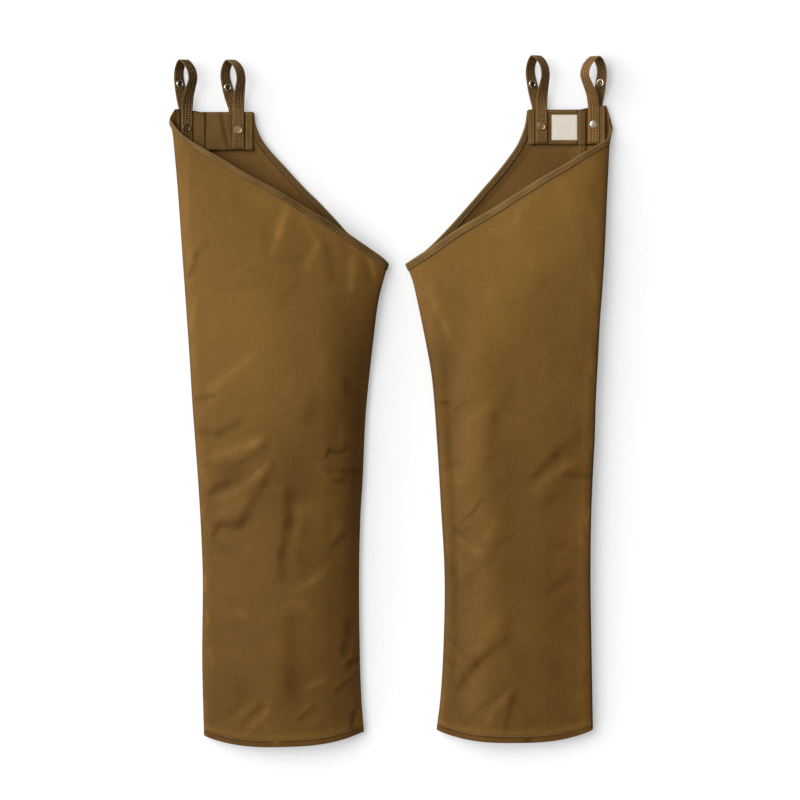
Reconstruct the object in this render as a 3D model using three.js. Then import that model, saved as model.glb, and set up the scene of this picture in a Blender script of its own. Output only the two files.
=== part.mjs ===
// Waxed canvas chaps: two separate leg tubes, each with a waist band, belt loops, bound top
// edges and snaps, laid flat. Millimetres, +Z up, +Y from the hems to the waist. Places on a
// leg are given as "out", the distance from the plane X = 0 towards that leg's outer edge,
// and "up", the distance along +Y.
import * as THREE from 'three';

// Cloth and trim
const wall = 1.4;             // canvas of the panels and the band
const gap = 0.3;              // between pieces that are sewn together
const tape = 1.2;             // binding cloth, on each side of an edge
const frontTape = 9.6;        // width of the front binding, along the leg
const backTape = 8.6;         // width of the back binding
const hemSag = 21.4;          // how far the middle of a hem hangs past its corners
const hemPower = 2.7;         // how square that curve is

// Section of a leg: a crowned top, rolled edges and a flat underside
const rollHigh = 6.5;         // height of the outermost line of a rolled edge
const rollWide = 14;          // from that line in to where the cloth lies flat
const crownPower = 0.8;       // the mouth's own crown: 1 is an ellipse, less is squarer
const crownFrom = 0.7;        // up the leg, its section turns into the mouth's crown
const crownTo = 0.95;
const sideLap = 10;           // overlap of front and back at the side seam
const inseamWrap = 26;        // how far the front turns in under the inseam
const inseamLap = 16;         // from the inseam's edge in to the back panel's edge
const lapHigh = wall + gap;   // a lapped edge lies on the cloth below it
const lapFlat = 13;           // width of a lapped or bound edge before it comes down
const lapEnd = 25;            // where it is down

// Waist: strap ends, panels, band and trim lie on each other
const strapWide = 19;
const strapThick = 2;
const waistLift = strapThick + 0.5;      // the panels lie on the strap ends
const liftFrom = 325;
const liftTo = 422;
const bandLow = waistLift + lapHigh + wall + gap;
const bandTop = bandLow + wall;
const stripThick = 1.2;
const labelThick = 0.6;
const snapRadius = 6.6;
const snapHigh = 1.8;
const ringThick = 1.6;
const ringClear = 0.65;       // between a ring's flat seat and the curved strap
const leanMost = 0.73;        // radians that a loop leans over at its widest
const foldClear = 16;         // folds fade in over this length below the front binding
const foldLean = 0.0227;      // slope of a fold's side for each unit of its strength
const leanWide = 1.2;         // how much wider the leaning side is than its row says
const facing = { x: -0.92, up: 0.39 };   // the way that a fold of positive strength faces

// How high the front panel stands over the surface, from the hem (0) to its top edge (1)
const crown = [
  { along: 0, high: 25 },
  { along: 0.2, high: 32 },
  { along: 0.45, high: 37 },
  { along: 0.8, high: 40 },
  { along: 1, high: 27 },
];

// A belt loop from its sewn end, up the front run, over the top and down the back run: how
// far it is above the waist, as a share of the loop's height, or below it, as a share of the
// band's. Then its shares of the three swings, its height over the surface and its lean
const loopShape = [
  { rise: -0.98, front: 0, crest: 0, back: 0, high: 8.8, lean: 0 },
  { rise: -0.49, front: 0, crest: 0, back: 0, high: 8.8, lean: 0 },
  { rise: 0, front: 0, crest: 0, back: 0, high: 8.8, lean: 0 },
  { rise: 0.14, front: 0.06, crest: 0, back: 0, high: 10.2, lean: 0.1 },
  { rise: 0.3, front: 0.25, crest: 0, back: 0, high: 15, lean: 0.45 },
  { rise: 0.47, front: 0.65, crest: 0, back: 0, high: 21.5, lean: 0.8 },
  { rise: 0.64, front: 1, crest: 0, back: 0, high: 27, lean: 1 },
  { rise: 0.8, front: 0.85, crest: 0.15, back: 0, high: 29, lean: 1 },
  { rise: 0.92, front: 0.42, crest: 0.5, back: 0, high: 26.5, lean: 0.9 },
  { rise: 0.985, front: 0.1, crest: 0.85, back: 0.05, high: 21, lean: 0.8 },
  { rise: 1, front: 0, crest: 0.8, back: 0.2, high: 15.5, lean: 0.8 },
  { rise: 0.94, front: 0, crest: 0.4, back: 0.6, high: 10.5, lean: 0.85 },
  { rise: 0.82, front: 0, crest: 0.1, back: 0.92, high: 8.2, lean: 0.9 },
  { rise: 0.68, front: 0, crest: 0, back: 1, high: 7.4, lean: 0.8 },
  { rise: 0.5, front: 0, crest: 0, back: 0.86, high: 6.2, lean: 0.6 },
  { rise: 0.32, front: 0, crest: 0, back: 0.66, high: 4, lean: 0.3 },
  { rise: 0.17, front: 0, crest: 0, back: 0.46, high: 1.9, lean: 0.08 },
  { rise: 0.09, front: 0, crest: 0, back: 0.36, high: 1.15, lean: 0 },
  { rise: -0.09, front: 0, crest: 0, back: 0.28, high: 1.1, lean: 0 },
  { rise: -0.65, front: 0, crest: 0, back: 0.1, high: 1.1, lean: 0 },
];
const loopSteps = 44;

// Plan of each leg. Its section runs from the outer edge (share 0) to the inseam, as levels
// of the crown's height. A fold is the leaning side of a ridge or a trough from one end to
// the other, bent sideways in its middle, "wide" to either side. Its strength is how steeply
// it leans, to the outer left (above 0) or away.
const legs = [
  {
    name: 'left',
    side: -1,
    outside: [
      { up: -561, out: 314 },
      { up: -435, out: 317 },
      { up: -300, out: 316 },
      { up: -217, out: 319 },
      { up: -133, out: 324 },
      { up: -66, out: 329 },
      { up: 2, out: 334 },
      { up: 69, out: 338 },
      { up: 170, out: 345 },
      { up: 254, out: 351 },
      { up: 354, out: 358 },
      { up: 422, out: 364 },
      { up: 450, out: 367 },
      { up: 471, out: 372 },
      { up: 489, out: 365 },
    ],
    inseam: [
      { up: -554, out: 45.5 },
      { up: -502, out: 49.5 },
      { up: -436, out: 52 },
      { up: -302, out: 53.5 },
      { up: -200, out: 51.5 },
      { up: -133, out: 47.5 },
      { up: -32, out: 43 },
      { up: 35, out: 37 },
      { up: 102, out: 29.5 },
      { up: 170, out: 20.5 },
      { up: 228.5, out: 5 },
    ],
    seamHem: 44,
    seamWaist: 328,
    frontEdge: [
      { out: 5, up: 228.5 },
      { out: 13.4, up: 237 },
      { out: 35, up: 252.4 },
      { out: 72.6, up: 278.3 },
      { out: 108, up: 302 },
      { out: 153, up: 328.2 },
      { out: 185, up: 348.2 },
      { out: 220, up: 366.6 },
      { out: 253, up: 385.2 },
      { out: 286, up: 405 },
      { out: 313, up: 420.6 },
      { out: 348.5, up: 443.5 },
      { out: 372, up: 471 },
    ],
    backEdge: [
      { up: 243, out: 26 },
      { up: 280, out: 74 },
      { up: 298, out: 90.5 },
      { up: 331.5, out: 122.3 },
      { up: 354.5, out: 146 },
      { up: 387, out: 176 },
      { up: 417.5, out: 203.8 },
      { up: 438.5, out: 219.2 },
      { up: 462, out: 228.9 },
      { up: 483.5, out: 231.8 },
    ],
    crotch: 218,
    waist: 484,
    band: { outer: 359, inner: 232.6, low: 420.5, high: 484 },
    strip: { outer: 331, inner: 313 },
    straps: [
      { name: 'outer', out: 342.6, height: 86.5, front: -11, crest: 3.5, back: 13.4, ring: 13.73, snap: 457.6 },
      { name: 'inner', out: 256, height: 86.3, front: -5, crest: 11, back: 22, ring: 14.1, snap: 454 },
    ],
    section: [
      { share: 0, level: 0 },
      { share: 0.012, level: 0.27 },
      { share: 0.1, level: 0.5 },
      { share: 0.25, level: 0.76 },
      { share: 0.42, level: 0.95 },
      { share: 0.6, level: 1 },
      { share: 0.76, level: 0.9 },
      { share: 0.85, level: 0.68 },
      { share: 0.93, level: 0.36 },
      { share: 1, level: 0 },
    ],
    folds: [
      { outA: 175, upA: 322, outB: 188, upB: 280, bend: 0, wide: 9, strength: 14 },
      { outA: 124, upA: 258, outB: 140, upB: 228, bend: 0, wide: 9, strength: 9 },
      { outA: 109, upA: 254, outB: 99, upB: 208, bend: 0, wide: 11, strength: -9 },
      { outA: 66, upA: 236, outB: 67, upB: 188, bend: 0, wide: 8, strength: 12 },
      { outA: 238, upA: 70, outB: 299, upB: 22, bend: 0, wide: 10, strength: 8 },
      { outA: 254, upA: -36, outB: 288, upB: -54, bend: 0, wide: 8, strength: -10 },
      { outA: 232, upA: -72, outB: 292, upB: -93, bend: 0, wide: 12, strength: 11 },
      { outA: 290, upA: -106, outB: 262, upB: -112, bend: 0, wide: 13, strength: -9 },
      { outA: 290, upA: -130, outB: 255, upB: -128, bend: 0, wide: 14, strength: -7 },
      { outA: 302, upA: -152, outB: 275, upB: -138, bend: 0, wide: 8, strength: -15 },
      { outA: 222, upA: -122, outB: 280, upB: -163, bend: 3, wide: 9, strength: 9 },
      { outA: 214, upA: -140, outB: 250, upB: -200, bend: 0, wide: 10, strength: -8 },
      { outA: 255, upA: -172, outB: 284, upB: -188, bend: 0, wide: 14, strength: 7 },
      { outA: 256, upA: -208, outB: 288, upB: -207, bend: 0, wide: 9, strength: -12 },
      { outA: 171, upA: -156, outB: 172, upB: -205, bend: 0, wide: 10, strength: -11 },
      { outA: 173, upA: -205, outB: 183, upB: -256, bend: 0, wide: 9, strength: -9 },
      { outA: 107, upA: -278, outB: 130, upB: -300, bend: 0, wide: 9, strength: 7 },
      { outA: 170, upA: -374, outB: 168, upB: -480, bend: 0, wide: 19, strength: -7 },
    ],
  },
  {
    name: 'right',
    side: 1,
    outside: [
      { up: -551, out: 339 },
      { up: -435, out: 337 },
      { up: -300, out: 335 },
      { up: -200, out: 336 },
      { up: -133, out: 338.5 },
      { up: -66, out: 342 },
      { up: 2, out: 344 },
      { up: 69, out: 347.5 },
      { up: 136, out: 351 },
      { up: 187, out: 355 },
      { up: 254, out: 359 },
      { up: 337, out: 362.5 },
      { up: 388, out: 365 },
      { up: 440, out: 368 },
      { up: 455, out: 372.5 },
      { up: 474, out: 369 },
      { up: 495, out: 363.5 },
    ],
    inseam: [
      { up: -551, out: 76.5 },
      { up: -502, out: 82.5 },
      { up: -436, out: 87 },
      { up: -335, out: 90 },
      { up: -267, out: 89 },
      { up: -183, out: 84 },
      { up: -66, out: 77 },
      { up: 35, out: 69 },
      { up: 102, out: 57.5 },
      { up: 170, out: 43.5 },
      { up: 203, out: 35.5 },
      { up: 228, out: 25.5 },
    ],
    seamHem: 44,
    seamWaist: 326,
    frontEdge: [
      { out: 25.5, up: 228 },
      { out: 41, up: 237.8 },
      { out: 66.5, up: 254.3 },
      { out: 91.6, up: 271.4 },
      { out: 116.8, up: 289.1 },
      { out: 150, up: 307.5 },
      { out: 184, up: 328.4 },
      { out: 217, up: 349.4 },
      { out: 251, up: 371 },
      { out: 285, up: 390.5 },
      { out: 320, up: 412 },
      { out: 368, up: 440 },
    ],
    backEdge: [
      { up: 241, out: 48 },
      { up: 258.5, out: 68.5 },
      { up: 287, out: 96.5 },
      { up: 321, out: 127 },
      { up: 354.5, out: 156 },
      { up: 388, out: 184.8 },
      { up: 421.5, out: 209.6 },
      { up: 438.5, out: 218.6 },
      { up: 462, out: 226.8 },
      { up: 488, out: 230.6 },
    ],
    crotch: 218,
    waist: 488,
    band: { outer: 359, inner: 231.2, low: 430, high: 488 },
    strip: { outer: 326, inner: 314 },
    label: { outer: 312.5, inner: 269.8, low: 437, high: 479.5 },
    straps: [
      { name: 'outer', out: 340.3, height: 88.3, front: -15.8, crest: 0, back: 13.6, ring: 13.93, snap: 463.5 },
      { name: 'inner', out: 252.5, height: 89.6, front: 6.2, crest: -8, back: -18.5, ring: 14.12, snap: 460 },
    ],
    section: [
      { share: 0, level: 0 },
      { share: 0.012, level: 0.32 },
      { share: 0.1, level: 0.47 },
      { share: 0.3, level: 0.7 },
      { share: 0.5, level: 0.88 },
      { share: 0.66, level: 1 },
      { share: 0.74, level: 0.95 },
      { share: 0.9, level: 0.58 },
      { share: 0.985, level: 0.42 },
      { share: 1, level: 0 },
    ],
    folds: [
      { outA: 210, upA: 318, outB: 210, upB: 303, bend: 0, wide: 9, strength: 11 },
      { outA: 64, upA: 187, outB: 74, upB: 156, bend: 0, wide: 7, strength: 9 },
      { outA: 74, upA: 156, outB: 97, upB: 114, bend: 0, wide: 7, strength: 9 },
      { outA: 242, upA: -147, outB: 290, upB: -110, bend: -2, wide: 10, strength: 10 },
      { outA: 314, upA: -61, outB: 276, upB: -90, bend: 0, wide: 12, strength: -9 },
      { outA: 276, upA: -90, outB: 243, upB: -124, bend: 0, wide: 9, strength: -13 },
      { outA: 300, upA: -120, outB: 334, upB: -126, bend: 0, wide: 6, strength: -13 },
      { outA: 268, upA: -160, outB: 298, upB: -144, bend: 0, wide: 13, strength: -8 },
      { outA: 96, upA: -223, outB: 147, upB: -252, bend: 0, wide: 7, strength: 13 },
      { outA: 88, upA: -227, outB: 132, upB: -254, bend: 0, wide: 6, strength: -13 },
      { outA: 95, upA: -247, outB: 123, upB: -278, bend: 0, wide: 8, strength: 9 },
      { outA: 158, upA: -230, outB: 172, upB: -206, bend: 0, wide: 11, strength: 7 },
      { outA: 299, upA: -294, outB: 264, upB: -317, bend: 0, wide: 8, strength: -9 },
      { outA: 190, upA: -402, outB: 143, upB: -441, bend: 2, wide: 9, strength: -13 },
      { outA: 143, upA: -441, outB: 114, upB: -482, bend: 2, wide: 9, strength: -11 },
      { outA: 187, upA: -501, outB: 162, upB: -535, bend: 2, wide: 8, strength: 9 },
      { outA: 204, upA: -498, outB: 193, upB: -540, bend: 0, wide: 7, strength: -12 },
    ],
  },
];

// Columns of the front panel: across the top from the outer edge, denser at both edges,
// with one more beside each outermost line
const topColumns = 24;
const edgeEvenness = 0.6;
const besideEdge = 0.006;
const outerTurns = [1, 0.67, 0.33, 0.22, 0.11];
const inseamTurns = [0.33, 0.67, 1];
// Rows of the front panel, as heights on the outer edge: close at the knee
const frontRows = [
  -530, -495, -460, -425, -390, -355, -320, -290, -262, -240, -220, -202, -184, -166, -148,
  -130, -112, -94, -74, -52, -24, 8, 44, 82, 122, 164, 208, 252, 296, 340, 380, 410,
];
// Rows of the back panel below the crotch, then above it as shares of the way to the waist
const backRows = [-450, -350, -250, -150, -50, 50, 150];
const upperBackRows = [0, 0.15, 0.3, 0.45, 0.58, 0.68, 0.74, 0.82, 0.91, 1];
const backColumns = 6;

const canvas = new THREE.MeshStandardMaterial({ color: 0x7a5a30, roughness: 0.75 });
const bindingCloth = new THREE.MeshStandardMaterial({ color: 0x745931, roughness: 0.75 });
const strapCloth = new THREE.MeshStandardMaterial({ color: 0x4b3720, roughness: 0.8 });
const snapMetal = new THREE.MeshStandardMaterial({ color: 0x8a8070, roughness: 0.35, metalness: 1 });
const labelCloth = new THREE.MeshStandardMaterial({ color: 0xcec2b3, roughness: 0.9 });

const group = new THREE.Group();

const mix = (a, b, share) => a + (b - a) * share;
const clamp01 = (value) => Math.min(1, Math.max(0, value));
const ramp = (from, to, value) => clamp01((value - from) / (to - from));

function easeRamp(from, to, value) {
  const share = ramp(from, to, value);
  return share * share * (3 - 2 * share);
}

// Smooth curve through a table's column: a cubic between rows, level with its neighbours
function through(rows, key, column, at) {
  const last = rows.length - 1;
  let i = 0;
  while (i < last - 1 && at > rows[i + 1][key]) {
    i += 1;
  }
  const slope = (a, b) => (rows[b][column] - rows[a][column]) / (rows[b][key] - rows[a][key]);
  const span = rows[i + 1][key] - rows[i][key];
  const share = clamp01((at - rows[i][key]) / span);
  const slopeA = slope(Math.max(i - 1, 0), i + 1) * span;
  const slopeB = slope(i, Math.min(i + 2, last)) * span;
  const s2 = share * share;
  const s3 = s2 * share;
  return (2 * s3 - 3 * s2 + 1) * rows[i][column] + (s3 - 2 * s2 + share) * slopeA
    + (3 * s2 - 2 * s3) * rows[i + 1][column] + (s3 - s2) * slopeB;
}

// The same with the rows evenly spaced along the curve
function alongRows(rows, column, station) {
  const numbered = rows.map((row, place) => ({ place, value: row[column] }));
  return through(numbered, 'place', 'value', station);
}

const outsideAt = (leg, up) => through(leg.outside, 'up', 'out', up);
const inseamAt = (leg, up) => through(leg.inseam, 'up', 'out', up);
const lift = (up) => waistLift * ramp(liftFrom, liftTo, up);

// The side seam keeps its distance from the outer edge, and stands straight at the waist
function seamAt(leg, up) {
  return mix(outsideAt(leg, up) - leg.seamHem, leg.seamWaist, easeRamp(150, 420, up));
}

// How far all the folds raise the cloth at a point. Across a fold it is the curve
// d / (1 + (d / w)^2)^1.5 of the distance d: steep in the middle and level again to the sides
function foldHeight(leg, out, up) {
  let sum = 0;
  for (const fold of leg.folds) {
    const outRun = fold.outB - fold.outA;
    const upRun = fold.upB - fold.upA;
    const length = Math.hypot(outRun, upRun);
    const along = ((out - fold.outA) * outRun + (up - fold.upA) * upRun) / length;
    const across = ((out - fold.outA) * upRun - (up - fold.upA) * outRun) / length;
    const share = along / length;
    const away = across - 4 * fold.bend * share * (1 - share);
    const past = Math.max(-along, along - length, 0) / fold.wide;
    const lean = -(upRun * leg.side * facing.x - outRun * facing.up) / length;
    const side = away / (1 + (away / fold.wide / leanWide) ** 2) ** 1.5;
    sum += fold.strength * foldLean * lean * side * Math.exp(-past * past);
  }
  return sum;
}

const hemDrop = (share) => hemSag * (1 - Math.abs(2 * share - 1) ** hemPower);

// Front panel: heights of its hem corners, top corner and tip
function frontEnds(leg) {
  return {
    hemOuter: leg.outside[0].up,
    hemInner: leg.inseam[0].up,
    topOuter: leg.frontEdge[leg.frontEdge.length - 1].up,
    tip: leg.inseam[leg.inseam.length - 1].up,
  };
}

// A point on the crowned top, by its share across and its share along
function topPoint(leg, across, along) {
  const ends = frontEnds(leg);
  const upOuter = mix(ends.hemOuter, ends.topOuter, along);
  const upInner = mix(ends.hemInner, ends.tip, along);
  const out = mix(outsideAt(leg, upOuter), inseamAt(leg, upInner), across);
  const outTop = mix(outsideAt(leg, ends.topOuter), inseamAt(leg, ends.tip), across);
  const topBow = through(leg.frontEdge, 'out', 'up', outTop) - mix(ends.topOuter, ends.tip, across);
  const up = mix(upOuter, upInner, across) - (1 - along) * hemDrop(across) + along * topBow;
  const round = Math.sqrt(Math.max(4 * across * (1 - across), 0));
  const high = through(crown, 'along', 'high', along);
  const belowTape = (1 - along) * mix(ends.topOuter - ends.hemOuter, ends.tip - ends.hemInner, across) - frontTape;
  const fold = foldHeight(leg, out, up) * ramp(0, 0.6, round) * ramp(0, foldClear, belowTape);
  const level = through(leg.section, 'share', 'level', across);
  const puffed = mix(level, round ** crownPower, easeRamp(crownFrom, crownTo, along));
  return new THREE.Vector3(leg.side * out, up, rollHigh + (high - rollHigh) * puffed + fold);
}

// A point on the rolled outer edge and the flat wrap below it: turn 0 is the outermost line,
// turn 1 where the cloth lies flat, turn 2 the side seam. Its end climbs from the front's top
// corner to the waist's corner in the first third of the turn.
function outerWrapPoint(leg, turn, along) {
  const ends = frontEnds(leg);
  const corner = leg.outside[leg.outside.length - 1].up;
  const rowTop = turn <= 1 ? mix(ends.topOuter, corner, Math.min(turn * 3, 1)) : mix(corner, leg.waist, turn - 1);
  let up = mix(ends.hemOuter, rowTop, along);
  const edge = outsideAt(leg, up);
  const angle = (Math.min(turn, 1) * Math.PI) / 2;
  const flatOut = edge - rollWide;
  const seamOut = seamAt(leg, up) - sideLap;
  const out = turn <= 1 ? flatOut + rollWide * Math.cos(angle) : mix(flatOut, seamOut, turn - 1);
  const share = (edge - out) / (edge - inseamAt(leg, up));
  const shade = 0.92;
  const high = rollHigh * (1 - Math.sin(angle)) + lift(up) * Math.min(turn, 1);
  up -= (1 - along) * hemDrop(share) * (turn > 0 ? shade : 1);
  return new THREE.Vector3(leg.side * out, up, high);
}

// The same at the inseam: turn 0 is the innermost line, 1 flat, 2 the end of the wrap
function inseamWrapPoint(leg, turn, along) {
  const ends = frontEnds(leg);
  const up = mix(ends.hemInner, ends.tip, along);
  const angle = (Math.min(turn, 1) * Math.PI) / 2;
  const inset = turn <= 1 ? rollWide * (1 - Math.cos(angle)) : mix(rollWide, inseamWrap, turn - 1);
  const edge = inseamAt(leg, up);
  const share = 1 - inset / (outsideAt(leg, up) - edge);
  return new THREE.Vector3(leg.side * (edge + inset), up - (1 - along) * hemDrop(share), rollHigh * (1 - Math.sin(angle)));
}

// Grids are rows of points. Normals follow from a point's neighbours.
function gridNormals(grid) {
  const rows = grid.length;
  const columns = grid[0].length;
  return grid.map((row, i) => row.map((_, j) => {
    const acrossRow = grid[i][Math.min(j + 1, columns - 1)].clone().sub(grid[i][Math.max(j - 1, 0)]);
    const alongLeg = grid[Math.min(i + 1, rows - 1)][j].clone().sub(grid[Math.max(i - 1, 0)][j]);
    return acrossRow.cross(alongLeg).normalize();
  }));
}

function moved(grid, normals, distance) {
  return grid.map((row, i) => row.map((point, j) => point.clone().addScaledVector(normals[i][j], distance)));
}

// A closed body from points and triangles, with its faces turned outward
function closedMesh(name, points, triangles, material) {
  let volume = 0;
  for (const [a, b, c] of triangles) {
    volume += points[a].dot(points[b].clone().cross(points[c]));
  }
  const facing = volume > 0 ? triangles : triangles.map(([a, b, c]) => [a, c, b]);
  const geometry = new THREE.BufferGeometry();
  const positions = points.flatMap((point) => [point.x, point.y, point.z]);
  geometry.setAttribute('position', new THREE.Float32BufferAttribute(positions, 3));
  geometry.setIndex(facing.flat());
  geometry.computeVertexNormals();
  const mesh = new THREE.Mesh(geometry, material);
  mesh.name = name;
  group.add(mesh);
  return mesh;
}

// A sheet between two grids of the same size, closed by a rim
function sheet(name, upper, lower, material) {
  const rows = upper.length;
  const columns = upper[0].length;
  const points = [...upper.flat(), ...lower.flat()];
  const top = (i, j) => i * columns + j;
  const low = (i, j) => rows * columns + i * columns + j;
  const triangles = [];
  const quad = (a, b, c, d) => triangles.push([a, b, c], [a, c, d]);
  for (let i = 0; i < rows - 1; i += 1) {
    for (let j = 0; j < columns - 1; j += 1) {
      quad(top(i, j), top(i, j + 1), top(i + 1, j + 1), top(i + 1, j));
      triangles.push([low(i, j), low(i + 1, j + 1), low(i, j + 1)]);
      triangles.push([low(i, j), low(i + 1, j), low(i + 1, j + 1)]);
    }
  }
  for (let j = 0; j < columns - 1; j += 1) {
    quad(top(0, j + 1), top(0, j), low(0, j), low(0, j + 1));
    quad(top(rows - 1, j), top(rows - 1, j + 1), low(rows - 1, j + 1), low(rows - 1, j));
  }
  for (let i = 0; i < rows - 1; i += 1) {
    quad(top(i, 0), top(i + 1, 0), low(i + 1, 0), low(i, 0));
    quad(top(i + 1, columns - 1), top(i, columns - 1), low(i, columns - 1), low(i + 1, columns - 1));
  }
  return closedMesh(name, points, triangles, material);
}

// A solid through closed sections of the same number of points. Cap lists the section's
// faces, so that hollow sections close properly.
function loft(name, sections, cap, material) {
  const count = sections[0].length;
  const last = sections.length - 1;
  const triangles = [];
  for (let i = 0; i < last; i += 1) {
    for (let k = 0; k < count; k += 1) {
      const next = (k + 1) % count;
      const [a, b, c, d] = [i * count + k, i * count + next, (i + 1) * count + next, (i + 1) * count + k];
      triangles.push([a, b, c], [a, c, d]);
    }
  }
  for (const [a, b, c] of cap) {
    triangles.push([a, c, b], [last * count + a, last * count + b, last * count + c]);
  }
  return closedMesh(name, sections.flat(), triangles, material);
}

// Cloth folded over a panel's edge: a C section, two legs and a fold, clear of the panel
const bindingCap = [[0, 1, 8], [0, 8, 9], [1, 2, 8], [2, 3, 8], [3, 7, 8], [3, 4, 7], [4, 5, 7], [5, 6, 7]];

function bindingSection(faceIn, faceEdge, backIn, backEdge, normalIn, normalEdge) {
  const tangent = faceEdge.clone().sub(faceIn).normalize();
  const off = (point, normal, distance, past) => point.clone()
    .addScaledVector(normal, distance)
    .addScaledVector(tangent, past);
  return [
    off(faceIn, normalIn, gap + tape, 0),
    off(faceEdge, normalEdge, gap + tape, 0),
    off(faceEdge, normalEdge, gap, gap + tape),
    off(backEdge, normalEdge, -gap, gap + tape),
    off(backEdge, normalEdge, -gap - tape, 0),
    off(backIn, normalIn, -gap - tape, 0),
    off(backIn, normalIn, -gap, 0),
    off(backEdge, normalEdge, -gap, gap),
    off(faceEdge, normalEdge, gap, gap),
    off(faceIn, normalIn, gap, 0),
  ];
}

function frontPanel(leg) {
  const ends = frontEnds(leg);
  const shares = frontRows.map((up) => (up - ends.hemOuter) / (ends.topOuter - ends.hemOuter));
  const kept = shares.filter((share) => share > 0.02 && share < 0.965);
  const length = (across) => mix(ends.topOuter - ends.hemOuter, ends.tip - ends.hemInner, across);
  const rowShares = (across) => {
    const tapeLine = 1 - frontTape / length(across);
    return [0, ...kept, tapeLine, 1];
  };
  const columns = [];
  for (const turn of [2, ...outerTurns]) {
    columns.push(rowShares(0).map((along) => outerWrapPoint(leg, turn, along)));
  }
  const topShares = [];
  for (let k = 0; k <= topColumns; k += 1) {
    const even = k / topColumns;
    topShares.push(mix((1 - Math.cos(Math.PI * even)) / 2, even, edgeEvenness));
  }
  topShares.splice(1, 0, besideEdge);
  topShares.splice(-1, 0, 1 - besideEdge);
  for (const across of topShares) {
    columns.push(rowShares(across).map((along) => topPoint(leg, across, along)));
  }
  for (const turn of [...inseamTurns, 2]) {
    columns.push(rowShares(1).map((along) => inseamWrapPoint(leg, turn, along)));
  }
  const outer = columns[0].map((_, i) => columns.map((column) => column[i]));
  const normals = gridNormals(outer);
  const middle = normals[Math.floor(outer.length / 2)][Math.floor(columns.length / 2)];
  const outward = Math.sign(middle.z);
  for (const row of normals) {
    for (const normal of row) {
      normal.multiplyScalar(outward);
    }
  }
  const inner = moved(outer, normals, -wall);
  sheet(`front_${leg.name}`, outer, inner, canvas);

  const edge = outer.length - 1;
  const first = outerTurns.length + 2;
  const sections = [];
  for (let j = first; j < first + topShares.length - 1; j += 1) {
    sections.push(bindingSection(
      outer[edge - 1][j], outer[edge][j], inner[edge - 1][j], inner[edge][j],
      normals[edge - 1][j], normals[edge][j],
    ));
  }
  loft(`front_binding_${leg.name}`, sections, bindingCap, bindingCloth);
}

// Back panel: level rows between the side seam and the inseam, then the hollow back edge
function backPanel(leg) {
  const hemUp = leg.inseam[0].up;
  const edgeStart = leg.backEdge[0].up;
  const rows = [hemUp, ...backRows, leg.crotch, ...upperBackRows.map((share) => mix(edgeStart, leg.waist, share))];
  const innerEdge = (up) => (up <= leg.crotch ? inseamAt(leg, up) + inseamLap : through(leg.backEdge, 'up', 'out', up));
  const insets = (wide) => {
    const shares = [0, lapFlat / wide, lapEnd / wide];
    for (let k = 1; k < backColumns; k += 1) {
      shares.push(mix(lapEnd / wide, 1 - lapEnd / wide, k / backColumns));
    }
    return [...shares, 1 - lapEnd / wide, 1 - lapFlat / wide, 1];
  };
  const lower = rows.map((up, i) => {
    const outerOut = seamAt(leg, up);
    const innerOut = innerEdge(up);
    const wide = outerOut - innerOut;
    return insets(wide).map((share) => {
      const fromEdge = Math.min(share, 1 - share) * wide;
      const high = lift(up) + lapHigh * (1 - ramp(lapFlat, lapEnd, fromEdge + 1e-6));
      const out = mix(outerOut, innerOut, share);
      const hemShare = (outsideAt(leg, up) - out) / (outsideAt(leg, up) - inseamAt(leg, up));
      const drop = i === 0 ? hemDrop(clamp01(hemShare)) - 3 : 0;
      return new THREE.Vector3(leg.side * out, up - drop, high);
    });
  });
  const upper = lower.map((row) => row.map((point) => point.clone().setZ(point.z + wall)));
  sheet(`back_${leg.name}`, upper, lower, canvas);

  const straight = new THREE.Vector3(0, 0, 1);
  const sections = [];
  const columns = lower[0].length;
  for (let i = backRows.length + 2; i < rows.length; i += 1) {
    const bandClear = leg.band.inner - 0.8 - innerEdge(rows[i]);
    const width = rows[i] > leg.band.low - 8 ? Math.min(backTape, bandClear) : backTape;
    if (width > 1.5) {
      const share = width / lapFlat;
      const inset = (grid) => grid[i][columns - 1].clone().lerp(grid[i][columns - 2], share);
      sections.push(bindingSection(
        inset(upper), upper[i][columns - 1], inset(lower), lower[i][columns - 1], straight, straight,
      ));
    }
  }
  loft(`back_binding_${leg.name}`, sections, bindingCap, bindingCloth);
}

// A flat piece on the waist, by its four edges and its underside's height
function flatPiece(name, leg, place, low, thick, material) {
  const geometry = new THREE.BoxGeometry(place.outer - place.inner, place.high - place.low, thick);
  const mesh = new THREE.Mesh(geometry, material);
  mesh.name = name;
  mesh.position.set(
    (leg.side * (place.outer + place.inner)) / 2,
    (place.high + place.low) / 2,
    low + thick / 2,
  );
  group.add(mesh);
}

// Where a belt loop runs: its middle, its width direction and its face, at a station
function loopFrame(leg, strap, station) {
  const middle = (at) => {
    const part = (column) => alongRows(loopShape, column, at);
    const swing = part('front') * strap.front + part('crest') * strap.crest + part('back') * strap.back;
    const rise = part('rise');
    const reach = rise < 0 ? leg.waist - leg.band.low : strap.height;
    return new THREE.Vector3(leg.side * (strap.out + swing), leg.waist + rise * reach, part('high'));
  };
  const ahead = middle(Math.min(station + 0.05, loopShape.length - 1));
  const tangent = ahead.sub(middle(Math.max(station - 0.05, 0))).normalize();
  const lean = alongRows(loopShape, 'lean', station) * leanMost;
  const across = new THREE.Vector3(Math.cos(lean), 0, -Math.sin(lean) * Math.sign(leg.side * strap.front));
  across.addScaledVector(tangent, -across.dot(tangent)).normalize();
  return { middle: middle(station), across, face: across.clone().cross(tangent).normalize() };
}

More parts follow.
